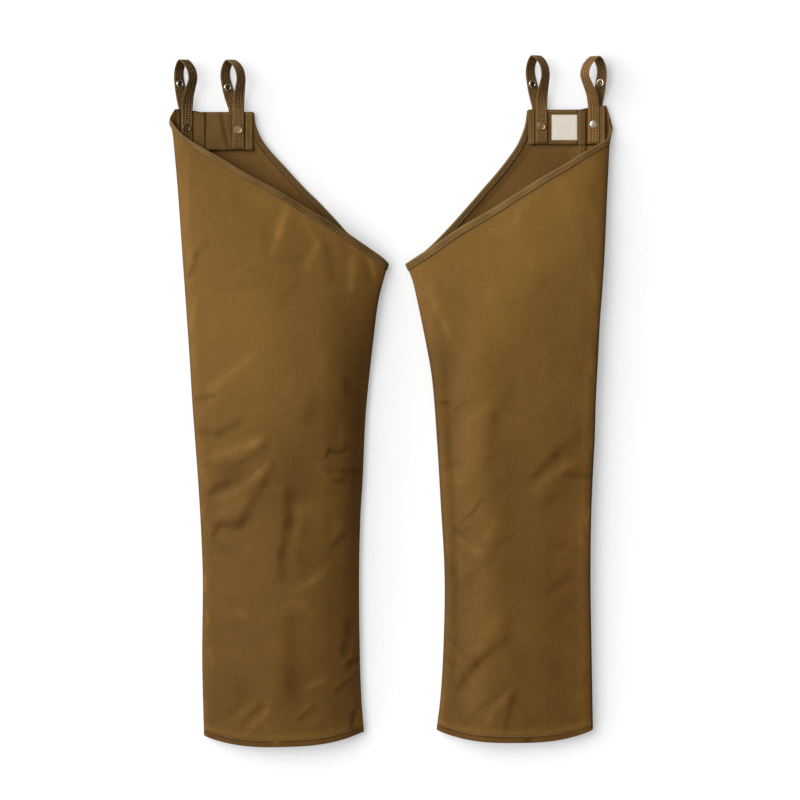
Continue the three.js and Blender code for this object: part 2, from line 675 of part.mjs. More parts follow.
function beltLoop(leg, strap) {
  const name = `${leg.name}_${strap.name}`;
  const sections = [];
  for (let k = 0; k <= loopSteps; k += 1) {
    const frame = loopFrame(leg, strap, (k * (loopShape.length - 1)) / loopSteps);
    const corner = (side, face) => frame.middle.clone()
      .addScaledVector(frame.across, (side * strapWide) / 2)
      .addScaledVector(frame.face, (face * strapThick) / 2);
    sections.push([corner(-1, -1), corner(1, -1), corner(1, 1), corner(-1, 1)]);
  }
  loft(`belt_loop_${name}`, sections, [[0, 1, 2], [0, 2, 3]], strapCloth);

  const capProfile = [
    [0, 0], [snapRadius, 0], [snapRadius, 0.5], [snapRadius * 0.86, 1.2], [snapRadius * 0.5, 1.65], [0, snapHigh],
  ].map(([x, y]) => new THREE.Vector2(x, y));
  const cap = new THREE.Mesh(new THREE.LatheGeometry(capProfile, 14), snapMetal);
  cap.name = `snap_cap_${name}`;
  cap.rotation.x = Math.PI / 2;
  cap.position.set(leg.side * strap.out, strap.snap, loopShape[0].high + strapThick / 2 + gap);
  group.add(cap);

  const ringProfile = [
    [0, 0], [snapRadius, 0], [snapRadius, ringThick * 0.6], [snapRadius * 0.8, ringThick],
    [snapRadius * 0.5, ringThick], [snapRadius * 0.42, ringThick * 0.45], [0, ringThick * 0.45],
  ].map(([x, y]) => new THREE.Vector2(x, y));
  const ring = new THREE.Mesh(new THREE.LatheGeometry(ringProfile, 14), snapMetal);
  ring.name = `snap_ring_${name}`;
  const frame = loopFrame(leg, strap, strap.ring);
  const face = frame.face.clone().multiplyScalar(Math.sign(frame.face.z));
  ring.quaternion.setFromUnitVectors(new THREE.Vector3(0, 1, 0), face);
  ring.position.copy(frame.middle).addScaledVector(face, strapThick / 2 + ringClear);
  group.add(ring);
}

for (const leg of legs) {
  frontPanel(leg);
  backPanel(leg);
  flatPiece(`waist_band_${leg.name}`, leg, leg.band, bandLow, wall, canvas);
  const strip = { ...leg.strip, low: leg.band.low, high: leg.band.high };
  flatPiece(`seam_strip_${leg.name}`, leg, strip, bandTop + gap, stripThick, canvas);
  if (leg.label) {
    flatPiece(`label_${leg.name}`, leg, leg.label, bandTop + gap, labelThick, labelCloth);
  }
  for (const strap of leg.straps) {
    beltLoop(leg, strap);
  }
}

// The origin is the middle of the pair's box, on the surface it lies on
const box = new THREE.Box3().setFromObject(group, true);
const middleOfBox = box.getCenter(new THREE.Vector3());
group.position.set(-middleOfBox.x, -middleOfBox.y, -box.min.z);

export default group;
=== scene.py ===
import math

import bpy
import numpy as np
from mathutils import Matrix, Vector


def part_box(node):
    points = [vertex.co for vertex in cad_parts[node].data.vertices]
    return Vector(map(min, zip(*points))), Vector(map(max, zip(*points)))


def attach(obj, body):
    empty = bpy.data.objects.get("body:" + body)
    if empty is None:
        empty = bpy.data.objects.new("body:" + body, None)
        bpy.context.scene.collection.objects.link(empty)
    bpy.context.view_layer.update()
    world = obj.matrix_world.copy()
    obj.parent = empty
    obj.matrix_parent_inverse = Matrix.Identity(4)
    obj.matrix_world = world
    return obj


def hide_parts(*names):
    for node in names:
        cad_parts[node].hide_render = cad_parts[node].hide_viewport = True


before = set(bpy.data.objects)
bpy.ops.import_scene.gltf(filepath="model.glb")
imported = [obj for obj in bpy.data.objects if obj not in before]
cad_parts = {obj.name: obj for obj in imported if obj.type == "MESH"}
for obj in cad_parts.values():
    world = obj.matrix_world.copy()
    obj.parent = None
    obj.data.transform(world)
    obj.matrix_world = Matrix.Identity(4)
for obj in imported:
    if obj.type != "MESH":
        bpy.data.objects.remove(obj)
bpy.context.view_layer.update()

# Lengths are in millimetres until a mesh is made. On a leg, "out" is the distance from the
# plane between the legs and "up" the distance along +Y from the frame's middle.
# Each leg's tables: outside and inseam hold (up, out), frontEdge (out, up), backEdge (up, out),
# section (share from outside to inseam, share of the crown's height).
# A strap has its place, the height of its loop, the sideways swings of its front run, crest and
# back run, where its ring and its cap sit, and its tones in front and behind, the one behind partly the
# strap's own colour and partly painted light on its shaded back run.
# A crease is (outA, upA, outB, upB, bend, wide, strength): a soft band from A to B, its middle
# bent sideways by bend. Where strength is above 0 the cloth there leans up to face the upper
# left and is painted lighter, a painted highlight; below 0 it leans the other way and is painted darker, a
# painted shade.
legs = {
    "left": {
        "side": -1,
        "outside": [(-561, 314), (-435, 317), (-300, 316), (-217, 319), (-133, 324), (-66, 329),
                    (2, 334), (69, 338), (170, 345), (254, 351), (354, 358), (422, 364), (450, 367),
                    (471, 372), (489, 365)],
        "inseam": [(-554, 45.5), (-502, 49.5), (-436, 52), (-302, 53.5), (-200, 51.5), (-133, 47.5),
                   (-32, 43), (35, 37), (102, 29.5), (170, 20.5), (228.5, 5)],
        "seamHem": 44, "seamWaist": 328, "crotch": 218, "waist": 484,
        "frontEdge": [(5, 228.5), (13.4, 237), (35, 252.4), (72.6, 278.3), (108, 302), (153, 328.2),
                      (185, 348.2), (220, 366.6), (253, 385.2), (286, 405), (313, 420.6),
                      (348.5, 443.5), (372, 471)],
        "backEdge": [(243, 26), (280, 74), (298, 90.5), (331.5, 122.3), (354.5, 146), (387, 176),
                     (417.5, 203.8), (438.5, 219.2), (462, 228.9), (483.5, 231.8)],
        "band": {"outer": 359, "inner": 232.6, "low": 420.5, "high": 484},
        "section": [(0, 0), (0.012, 0.27), (0.1, 0.5), (0.25, 0.76), (0.42, 0.95), (0.6, 1),
                    (0.76, 0.9), (0.85, 0.68), (0.93, 0.36), (1, 0)],
        "strip": (313, 331),
        "straps": {
            "outer": {"out": 342.6, "height": 86.5, "front": -11, "crest": 3.5, "back": 13.4, "ring": 13.73,
                      "snap": 457.6, "cap": "rimmed", "tones": (-0.1, 0.5)},
            "inner": {"out": 256, "height": 86.3, "front": -5, "crest": 11, "back": 22, "ring": 14.1,
                      "snap": 454, "cap": "rimmed", "tones": (0.3, 0.4)},
        },
        "creases": [
            (175, 322, 188, 280, 0, 9, 14), (188, 280, 197, 250, 0, 8, 7), (217, 336, 200, 326, 0, 8, 8),
            (240, 352, 222, 340, 0, 9, 4), (152, 308, 122, 261, 0, 4, 9), (124, 258, 140, 228, 0, 9, 9),
            (66, 236, 67, 188, 0, 8, 12), (35, 236, 27, 209, 0, 3.5, 18), (342, 415, 342, 292, 0, 4, 6),
            (336, 250, 346, 198, 0, 4.5, 8), (328, 166, 338, 118, 0, 4.5, 10),
            (235, 232, 259, 217, 0, 6, 4), (315, 210, 333, 201, 0, 5, 4), (262, 350, 258, 328, 0, 10, -4),
            (212, 292, 212, 260, 0, 9, -4), (176, 238, 155, 237, 0, 12, -7),
            (109, 254, 99, 208, 0, 11, -9), (84, 266, 73, 244, 0, 6, -9), (48, 243, 38, 200, 0, 6, -10),
            (157, 198, 184, 160, 0, 5, -5), (310, 262, 326, 244, 0, 7, -6),
            (326, 244, 341, 208, 3, 6, -8), (358, 415, 357, 382, 0, 5, -6),
            (282, 184, 225, 196, 0, 11, -3), (238, 70, 299, 22, 0, 10, 8), (331, 84, 329, 62, 0, 6, 6),
            (298, 1, 318, -21, 0, 8, 5), (330, 1, 298, 8, 0, 4.5, -11), (254, -36, 288, -54, 0, 8, -10),
            (284, -56, 323, -52, 0, 7, -9), (218, -63, 232, -73, 0, 9, 8),
            (232, -72, 292, -93, 0, 12, 11), (238, -50, 222, -52, 0, 5, -5),
            (212, -76, 250, -104, 0, 8, -9), (290, -106, 262, -112, 0, 13, -9),
            (290, -130, 255, -128, 0, 14, -7), (302, -152, 275, -138, 0, 8, -15),
            (316, -122, 304, -145, 0, 9, 7), (296, -129, 318, -130, 0, 2.5, 7),
            (206, -106, 222, -122, 0, 8, 9), (222, -122, 280, -163, 3, 9, 9),
            (200, -106, 210, -140, 0, 7, -6), (214, -140, 250, -200, 0, 10, -8),
            (255, -172, 284, -188, 0, 14, 7), (209, -60, 206, -88, 0, 6, -4), (166, 45, 175, 12, 0, 9, 4),
            (119, 72, 118, 60, 0, 14, 4), (130, 0, 140, -34, 0, 16, -6), (94, -8, 82, -15, 0, 8, -6),
            (75, 28, 72, 15, 0, 11, -10), (108, -93, 103, -83, 0, 4, -18),
            (103, -83, 77, -82, -4, 4, -22), (97, -90, 75, -91, 0, 3.5, 5), (83, -46, 85, -70, 0, 5, 7),
            (122, -114, 108, -132, 0, 7, 6), (104, -119, 98, -121, 0, 4, -8),
            (92, -126, 84, -126, 0, 3.5, 6), (80, -119, 54, -121, 0, 6, -14),
            (95, -135, 79, -133, 0, 6, -14), (316, -180, 318, -192, 0, 5, 9),
            (171, -156, 172, -205, 0, 10, -11), (145, -158, 168, -158, 0, 10, -6),
            (98, -152, 94, -154, 0, 6, -6), (152, -186, 95, -172, 0, 13, 4),
            (238, -196, 256, -208, 0, 8, -10), (256, -208, 288, -207, 0, 9, -12),
            (288, -208, 299, -226, 0, 6, -10), (306, -215, 303, -225, 0, 6, 4),
            (173, -205, 183, -256, 0, 9, -9), (183, -256, 182, -298, 0, 9, -7),
            (152, -190, 160, -238, 0, 8, 4), (295, -242, 270, -250, 0, 11, -5),
            (297, -262, 282, -270, 0, 3.5, 5), (238, -270, 236, -276, 0, 9, -4),
            (312, -296, 312, -316, 0, 3, 18), (274, -330, 261, -342, 0, 8, -4),
            (310, -354, 307, -370, 0, 4, 9), (258, -353, 244, -358, 0, 7, 7),
            (107, -278, 130, -300, 0, 9, 7), (130, -300, 160, -317, 0, 8, 6),
            (176, -342, 150, -338, 0, 7, 4), (150, -338, 135, -358, 0, 8, 4),
            (88, -206, 92, -216, 0, 10, 6), (97, -243, 82, -228, 0, 6, -13),
            (147, -270, 145, -285, 0, 13, -4), (145, -218, 147, -226, 0, 7, -4),
            (170, -374, 168, -480, 0, 19, -7), (172, -480, 168, -505, 0, 17, -4),
            (304, -420, 300, -442, 0, 6, 7), (74, -376, 74, -388, 0, 10, -10),
            (79, -408, 80, -420, 0, 7, -10), (64, -398, 70, -430, 0, 2.5, 7),
            (70, -430, 84, -439, 0, 2.5, 7), (72, -443, 56, -434, 0, 4.5, -14),
            (62, -450, 76, -465, 0, 4, 7), (92, -487, 72, -470, 0, 5, -11),
            (132, -474, 112, -465, 0, 8, 6), (255, -478, 250, -486, 0, 13, -5),
            (232, -508, 263, -531, 0, 7, 6), (204, -502, 208, -522, 0, 6, 6),
            (208, -522, 241, -555, 0, 5.5, 8), (271, -522, 264, -526, 0, 5, -5),
            (220, -513, 249, -539, 0, 5, -7), (249, -502, 259, -515, 0, 4.5, -4),
            (140, -509, 164, -537, 0, 3.5, 6), (127, -513, 153, -533, 0, 8, -6),
            (144, -539, 108, -531, 0, 8, 4), (116, -538, 115, -548, 0, 8, -5),
            (94, -515, 93, -530, 0, 12, -4), (69, -498, 67, -515, 0, 4.5, 6),
            (63, -522, 67, -549, 0, 4, -13), (53, -522, 59, -540, 0, 3, 8),
            (311, -500, 311, -525, 0, 2.5, 8), (102, -540, 99, -552, 0, 5, 4), (326, 5, 297, 7, 0, 3, -5),
            (319, -116, 294, -128, 2, 4, 6), (250, -356, 243, -362, 0, 9, 5),
            (141, -480, 112, -472, 2, 5, 8), (244, -531, 200, -551, 4, 12, 6),
            (104, -118, 58, -119, 3, 4, -9), (150, -180, 118, -205, 6, 9, 4),
        ],
    },
    "right": {
        "side": 1,
        "outside": [(-551, 339), (-435, 337), (-300, 335), (-200, 336), (-133, 338.5), (-66, 342),
                    (2, 344), (69, 347.5), (136, 351), (187, 355), (254, 359), (337, 362.5), (388, 365),
                    (440, 368), (455, 372.5), (474, 369), (495, 363.5)],
        "inseam": [(-551, 76.5), (-502, 82.5), (-436, 87), (-335, 90), (-267, 89), (-183, 84),
                   (-66, 77), (35, 69), (102, 57.5), (170, 43.5), (203, 35.5), (228, 25.5)],
        "seamHem": 44, "seamWaist": 326, "crotch": 218, "waist": 488,
        "frontEdge": [(25.5, 228), (41, 237.8), (66.5, 254.3), (91.6, 271.4), (116.8, 289.1),
                      (150, 307.5), (184, 328.4), (217, 349.4), (251, 371), (285, 390.5), (320, 412),
                      (368, 440)],
        "backEdge": [(241, 48), (258.5, 68.5), (287, 96.5), (321, 127), (354.5, 156), (388, 184.8),
                     (421.5, 209.6), (438.5, 218.6), (462, 226.8), (488, 230.6)],
        "band": {"outer": 359, "inner": 231.2, "low": 430, "high": 488},
        "section": [(0, 0), (0.012, 0.32), (0.1, 0.47), (0.3, 0.7), (0.5, 0.88), (0.66, 1),
                    (0.74, 0.95), (0.9, 0.58), (0.985, 0.42), (1, 0)],
        "strip": (314, 326),
        "straps": {
            "outer": {"out": 340.3, "height": 88.3, "front": -15.8, "crest": 0, "back": 13.6, "ring": 13.93,
                      "snap": 463.5, "cap": "domed", "tones": (1.0, 1.1)},
            "inner": {"out": 252.5, "height": 89.6, "front": 6.2, "crest": -8, "back": -18.5, "ring": 14.12,
                      "snap": 460, "cap": "rimmed", "tones": (0.35, 0.7)},
        },
        "creases": [
            (210, 318, 210, 303, 0, 9, 11), (227, 335, 226, 328, 0, 8, 7), (191, 313, 191, 308, 0, 8, 7),
            (163, 282, 193, 285, 0, 9, 5), (285, 358, 294, 330, 0, 15, 6), (112, 240, 132, 233, 0, 9, 5),
            (64, 187, 74, 156, 0, 7, 9), (74, 156, 97, 114, 0, 7, 9), (90, 122, 110, 86, 0, 6, 8),
            (232, 226, 230, 215, 0, 14, 3), (163, 180, 166, 165, 0, 15, 3), (338, 207, 345, 168, 0, 5, 6),
            (344, 132, 345, 110, 0, 3, 10), (348, 284, 350, 268, 0, 3, 6), (168, 236, 178, 215, 0, 8, -6),
            (82, 202, 84, 186, 0, 7, -5), (100, 178, 126, 152, 0, 12, -6), (37, 214, 46, 196, 0, 4, -7),
            (56, 164, 60, 145, 0, 7, -7), (335, 352, 343, 330, 0, 11, -8),
            (321, 300, 334, 250, 0, 15, -7), (330, 160, 330, 100, 0, 16, -6),
            (338, 233, 346, 214, 0, 5, -8), (256, 198, 233, 170, 0, 10, -4),
            (262, 142, 286, 156, 0, 8, -3), (120, 70, 110, 15, 0, 18, 6), (157, -12, 127, -37, 0, 11, 7),
            (128, -60, 130, -98, 0, 18, 6), (129, -115, 134, -116, 0, 6, 8),
            (112, -126, 116, -138, 0, 9, 6), (180, -118, 178, -126, 0, 11, 4), (219, 34, 219, 5, 0, 9, 3),
            (242, -147, 290, -110, -2, 10, 10), (290, -110, 314, -97, 0, 8, 6),
            (308, -136, 328, -132, 0, 9, 6), (337, 68, 335, 50, 0, 4.5, 8), (342, 42, 342, 30, 0, 3, 10),
            (335, -64, 337, -82, 0, 3.5, 11), (328, -90, 329, -100, 0, 3.5, 5),
            (86, -3, 97, -6, 0, 4, -12), (108, -14, 124, -4, 0, 4.5, -7),
            (104, -33, 120, -41, 0, 4.5, -7), (200, 20, 174, -30, 0, 13, -4),
            (174, -30, 168, -72, 0, 13, -6), (160, -100, 175, -93, 0, 8, -6),
            (92, -110, 112, -104, 0, 7, -9), (92, -50, 95, -98, 0, 9, -5),
            (314, -61, 276, -90, 0, 12, -9), (276, -90, 243, -124, 0, 9, -13),
            (300, -120, 334, -126, 0, 6, -13), (268, -160, 298, -144, 0, 13, -8),
            (150, -168, 158, -170, 0, 7, -4), (177, -136, 178, -150, 0, 12, -4),
            (275, 52, 272, 44, 0, 13, -3), (96, -223, 147, -252, 0, 7, 13),
            (142, -250, 152, -252, 0, 9, 4), (158, -230, 172, -206, 0, 11, 7),
            (95, -247, 123, -278, 0, 8, 9), (112, -262, 116, -290, 0, 10, 4),
            (163, -386, 168, -380, 0, 13, 5), (175, -355, 176, -368, 0, 13, 3),
            (128, -418, 150, -411, 0, 8, 8), (103, -420, 118, -438, 0, 10, 8),
            (95, -402, 111, -418, 0, 3.5, 7), (91, -352, 91, -370, 0, 3, 12),
            (327, -203, 333, -184, 0, 4.5, 11), (298, -266, 276, -288, 0, 7, 5),
            (302, -310, 268, -330, 0, 7, 5), (318, -322, 319, -332, 0, 9, 4),
            (301, -218, 299, -228, 0, 9, 3), (334, -405, 334, -424, 0, 3, 7),
            (98, -300, 106, -304, 0, 3, 5), (105, -222, 126, -214, 0, 7, -8),
            (132, -193, 152, -166, 0, 4.5, -6), (88, -227, 132, -254, 0, 6, -13),
            (178, -238, 203, -228, 0, 7, -8), (146, -232, 152, -240, 0, 8, -5),
            (170, -256, 130, -298, 0, 10, -5), (100, -275, 105, -292, 0, 6, -5),
            (98, -304, 115, -309, 0, 3.5, -8), (165, -335, 166, -341, 0, 10, -4),
            (193, -185, 194, -193, 0, 10, -5), (255, -168, 270, -164, 0, 12, -6),
            (268, -243, 314, -241, 0, 12, -6), (299, -294, 264, -317, 0, 8, -9),
            (321, -213, 329, -229, 0, 5, -7), (290, -345, 308, -338, 0, 15, -5),
            (330, -292, 330, -298, 0, 6, -6), (190, -402, 143, -441, 2, 9, -13),
            (92, -392, 125, -427, 0, 5, -12), (91, -430, 103, -443, 0, 5, -10),
            (195, -368, 194, -382, 0, 13, -5), (101, -452, 110, -462, 0, 7, 6),
            (105, -487, 127, -490, 0, 3.5, 5), (137, -472, 140, -478, 0, 7, 4),
            (183, -425, 191, -444, 0, 15, 4), (200, -486, 187, -501, 0, 7, 6),
            (187, -501, 162, -535, 2, 8, 9), (136, -504, 144, -493, 0, 9, 3),
            (212, -530, 213, -537, 0, 9, 3), (203, -556, 219, -560, 0, 5, 7),
            (253, -543, 236, -556, 0, 5, 6), (87, -541, 92, -545, 0, 6, 8),
            (86, -496, 85, -515, 0, 3, 13), (312, -496, 313, -508, 0, 9, 4),
            (297, -465, 319, -446, 0, 4.5, 4), (142, -547, 148, -549, 0, 6, 4),
            (143, -441, 114, -482, 2, 9, -11), (176, -496, 151, -513, 0, 5.5, -7),
            (151, -513, 124, -541, 0, 5, -6), (110, -505, 111, -514, 0, 11, -4),
            (204, -498, 193, -540, 0, 7, -12), (207, -490, 208, -498, 0, 8, -4),
            (188, -481, 191, -483, 0, 6, -4), (288, -534, 308, -535, 0, 5.5, -9),
            (288, -520, 306, -528, 0, 13, -5), (277, -450, 276, -458, 0, 11, -3),
            (193, -550, 187, -558, 0, 3.5, -7), (327, -458, 325, -468, 0, 7, -4),
            (72, -3, 94, -2, 1, 3, -18), (89, -227, 143, -255, 3, 5, 15),
            (107, -213, 139, -242, 2, 4, -12), (118, -205, 151, -165, 2, 3, -10),
            (289, -123, 334, -128, 2, 5, -22), (300, -150, 250, -160, 4, 8, 7),
            (86, -130, 120, -136, 3, 5, 10), (318, -236, 282, -262, 4, 7, 7),
        ],
    },
}

# The cloth's thickness, the laid leg's rolls, laps and crown, and how strong its creases are
form = {
    "wall": 1.4, "gap": 0.3, "tape": 1.2,
    "hemSag": 21.4, "hemPower": 2.7, "wrapSag": 0.92, "rollHigh": 6.5, "rollWide": 14,
    "crownPower": 0.8, "roundFrom": (0.7, 0.95), "seamTurn": (150, 420),
    "sideLap": 10, "inseamWrap": 26, "inseamLap": 16, "lapFlat": 13, "lapEnd": 25,
    "waistLift": 2.5, "liftFrom": 325, "liftTo": 422,
    "creasePaintedShade": 0.033, "creaseLean": 0.0136, "leanWide": 1.2, "facing": (-0.92, 0.39),
    "crown": [(0, 25), (0.2, 32), (0.45, 37), (0.8, 40), (1, 27)],
}
lapHigh = form["wall"] + form["gap"]
bandLow = form["waistLift"] + 2 * lapHigh
bandTop = bandLow + form["wall"]
onBand = bandTop + form["gap"]
strapThick = 2
strapWide = 19

# The frame's own middle is a little off the tables' zero, so places are moved by that much
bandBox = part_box("waist_band_left")
bandCorner = np.array([-legs["left"]["band"]["outer"], legs["left"]["band"]["low"], bandLow])
shift = np.array(bandBox[0]) * 1000 - bandCorner


def mix(a, b, share):
    return a + (b - a) * share


def ramp(start, end, value):
    return np.clip((value - start) / (end - start), 0, 1)


def easeRamp(start, end, value):
    share = ramp(start, end, value)
    return share * share * (3 - 2 * share)


def bell(value):
    return np.exp(-value * value)


# Shares from 0 to 1 that lie closer together near both ends
def crowded(count, evenness):
    even = np.linspace(0, 1, count)
    return mix((1 - np.cos(np.pi * even)) / 2, even, evenness)


# A smooth curve through a table of (key, value): a cubic between rows, its slope at each row
# taken from the rows on either side
def through(rows, at):
    keys, values = np.array(rows, float).T
    i = np.searchsorted(keys[1:-1], at, side="left")
    last = len(keys) - 1
    slope = lambda a, b: (values[b] - values[a]) / (keys[b] - keys[a])
    span = keys[i + 1] - keys[i]
    share = np.clip((at - keys[i]) / span, 0, 1)
    slopeA = slope(np.maximum(i - 1, 0), i + 1) * span
    slopeB = slope(i, np.minimum(i + 2, last)) * span
    s2, s3 = share ** 2, share ** 3
    return ((2 * s3 - 3 * s2 + 1) * values[i] + (s3 - 2 * s2 + share) * slopeA
            + (3 * s2 - 2 * s3) * values[i + 1] + (s3 - s2) * slopeB)


def outsideAt(leg, up):
    return through(leg["outside"], up)


def inseamAt(leg, up):
    return through(leg["inseam"], up)


# Near the waist the cloth lies a little off the floor
def lift(up):
    return form["waistLift"] * ramp(form["liftFrom"], form["liftTo"], up)


# The side seam: a set width in from the outside edge at the hem, eased to its own line at the waist
def seamAt(leg, up):
    return mix(outsideAt(leg, up) - leg["seamHem"], leg["seamWaist"], easeRamp(*form["seamTurn"], up))


# 0 at both sides and 1 half way, as the height of a half circle
def halfRound(share):
    return np.sqrt(np.maximum(4 * share * (1 - share), 0))


# How far the hem sags between its corners: sag * (1 - |2 share - 1| ^ power)
def hemDrop(share):
    return form["hemSag"] * (1 - np.abs(2 * share - 1) ** form["hemPower"])


# The creases' painted highlights and shade, and their relief. Across a band the cloth is level, leans by the
# strength through the middle and comes back level: d / (1 + (d / w)^2)^1.5
def creaseSums(leg, out, up):
    tone, relief = np.zeros(np.shape(out)), np.zeros(np.shape(out))
    faced = leg["side"] * form["facing"][0], form["facing"][1]
    for outA, upA, outB, upB, bend, wide, strength in leg["creases"]:
        outRun, upRun = outB - outA, upB - upA
        length = math.hypot(outRun, upRun)
        along = ((out - outA) * outRun + (up - upA) * upRun) / length
        across = ((out - outA) * upRun - (up - upA) * outRun) / length
        across = across - 4 * bend * along / length * (1 - along / length)
        past = np.maximum(np.maximum(-along, along - length), 0)
        kept = strength * bell(past / wide)
        lean = -(upRun * faced[0] - outRun * faced[1]) / length
        # Painted light and shade: lighter where the crease leans towards the light, darker where it leans
        # away
        tone += kept * bell(across / wide) * form["creasePaintedShade"]
        steep = (1 + (across / wide / form["leanWide"]) ** 2) ** 1.5
        relief += kept * form["creaseLean"] * lean * across / steep
    return tone, relief


# Places on a leg, mirrored to its own side
def placed(leg, out, up, z):
    return np.stack(np.broadcast_arrays(leg["side"] * out, up, z), -1)


# How far up the outside starts, the inseam starts, the slanting edge ends and the inseam ends
def ends(leg):
    return leg["outside"][0][0], leg["inseam"][0][0], leg["frontEdge"][-1][1], leg["inseam"][-1][0]


def columnLength(leg, across):
    hemOuter, hemInner, topOuter, tip = ends(leg)
    return mix(topOuter - hemOuter, tip - hemInner, across)


# A point on the crowned top of the front panel, by its shares across and along: on the straight
# line between its two sides, bowed by the hem and the slanting edge, and as high as the crown's
# height times the section's share
def topGrid(leg, across, along):
    hemOuter, hemInner, topOuter, tip = ends(leg)
    upOuter = mix(hemOuter, topOuter, along)
    upInner = mix(hemInner, tip, along)
    out = mix(outsideAt(leg, upOuter), inseamAt(leg, upInner), across)
    outTop = mix(outsideAt(leg, topOuter), inseamAt(leg, tip), across)
    topBow = through(leg["frontEdge"], outTop) - mix(topOuter, tip, across)
    up = mix(upOuter, upInner, across) - (1 - along) * hemDrop(across) + along * topBow
    high = through(form["crown"], along)
    puffed = mix(through(leg["section"], across), halfRound(across) ** form["crownPower"],
                 easeRamp(*form["roundFrom"], along))
    z = form["rollHigh"] + (high - form["rollHigh"]) * puffed
    return placed(leg, out, up, z)


# The rolled outer edge and the flat wrap below it: turn 0 is the outermost line, 1 where the
# cloth lies flat after a quarter circle, 2 the side seam, straight on from there
def outerWrap(leg, turn, along):
    hemOuter, _, topOuter, _ = ends(leg)
    corner = leg["outside"][-1][0]
    rowTop = np.where(turn <= 1, mix(topOuter, corner, np.minimum(turn * 3, 1)),
                      mix(corner, leg["waist"], turn - 1))
    up = mix(hemOuter, rowTop, along)
    edge = outsideAt(leg, up)
    angle = np.minimum(turn, 1) * np.pi / 2
    flatOut = edge - form["rollWide"]
    seamOut = seamAt(leg, up) - form["sideLap"]
    out = np.where(turn <= 1, flatOut + form["rollWide"] * np.cos(angle), mix(flatOut, seamOut, turn - 1))
    share = (edge - out) / (edge - inseamAt(leg, up))
    z = form["rollHigh"] * (1 - np.sin(angle)) + lift(up) * np.minimum(turn, 1)
    up = up - (1 - along) * hemDrop(share) * form["wrapSag"]
    return placed(leg, out, up, z)


# The same on the inseam's side: a quarter circle, then flat to the wrap's edge under the leg
def inseamRoll(leg, turn, along):
    _, hemInner, _, tip = ends(leg)
    up = mix(hemInner, tip, along)
    angle = np.minimum(turn, 1) * np.pi / 2
    wide = form["rollWide"]
    inset = np.where(turn <= 1, wide * (1 - np.cos(angle)), mix(wide, form["inseamWrap"], turn - 1))
    edge = inseamAt(leg, up)
    share = 1 - inset / (outsideAt(leg, up) - edge)
    z = form["rollHigh"] * (1 - np.sin(angle))
    return placed(leg, edge + inset, up - (1 - along) * hemDrop(share), z)


def unit(vectors):
    return vectors / np.maximum(np.linalg.norm(vectors, axis=-1, keepdims=True), 1e-9)


def normalsOf(grid):
    return unit(np.cross(np.gradient(grid, axis=1), np.gradient(grid, axis=0)))


# Normals turned so that they face up at one place of the grid
def upNormals(grid, row, column):
    normals = normalsOf(grid)
    return normals * np.sign(normals[row, column, 2])


# Distances along the rows and the columns of a grid, in metres, as its flat pattern
def flatPlaces(grid):
    across = np.linalg.norm(np.diff(grid, axis=1), axis=-1).cumsum(1)
    along = np.linalg.norm(np.diff(grid, axis=0), axis=-1).cumsum(0)
    u = np.concatenate([np.zeros((len(grid), 1)), across], 1)
    v = np.concatenate([np.zeros((1, grid.shape[1])), along], 0)
    return np.stack([u - u.mean(1, keepdims=True), v], -1) / 1000


# A mesh from points and quads, turned outwards by its signed volume. Places are those of the
# flat cut, and tone is the painted light and shade, with the cloth's own uneven colour, that the cloth's
# material reads.
def meshFrom(name, points, quads, places=None, tone=None, sharp=60):
    corners = points[quads]
    centre = points.mean(0)
    a, b, c, d = (corners[:, k] - centre for k in range(4))
    volume = (a * np.cross(b, c)).sum() + (a * np.cross(c, d)).sum()
    if volume < 0:
        quads = quads[:, ::-1]
    mesh = bpy.data.meshes.new(name)
    mesh.vertices.add(len(points))
    mesh.vertices.foreach_set("co", ((points + shift) / 1000).astype(np.float32).ravel())
    mesh.loops.add(quads.size)
    mesh.loops.foreach_set("vertex_index", quads.astype(np.int32).ravel())
    mesh.polygons.add(len(quads))
    mesh.polygons.foreach_set("loop_start", np.arange(0, quads.size, 4, dtype=np.int32))
    mesh.polygons.foreach_set("use_smooth", np.ones(len(quads), bool))
    if places is not None:
        layer = mesh.uv_layers.new(name="cut")
        layer.data.foreach_set("uv", places[quads.ravel()].astype(np.float32).ravel())
    if tone is not None:
        values = mesh.attributes.new("tone", "FLOAT", "POINT").data
        values.foreach_set("value", tone.astype(np.float32).ravel())
    mesh.update()
    mesh.validate()
    if sharp:
        mesh.set_sharp_from_angle(angle=math.radians(sharp))
    piece = bpy.data.objects.new(name, mesh)
    bpy.context.scene.collection.objects.link(piece)
    return piece


def gridQuads(rows, columns, start=0):
    i, j = np.meshgrid(np.arange(rows - 1), np.arange(columns - 1), indexing="ij")
    a = (start + i * columns + j).ravel()
    return np.stack([a, a + 1, a + 1 + columns, a + columns], 1)


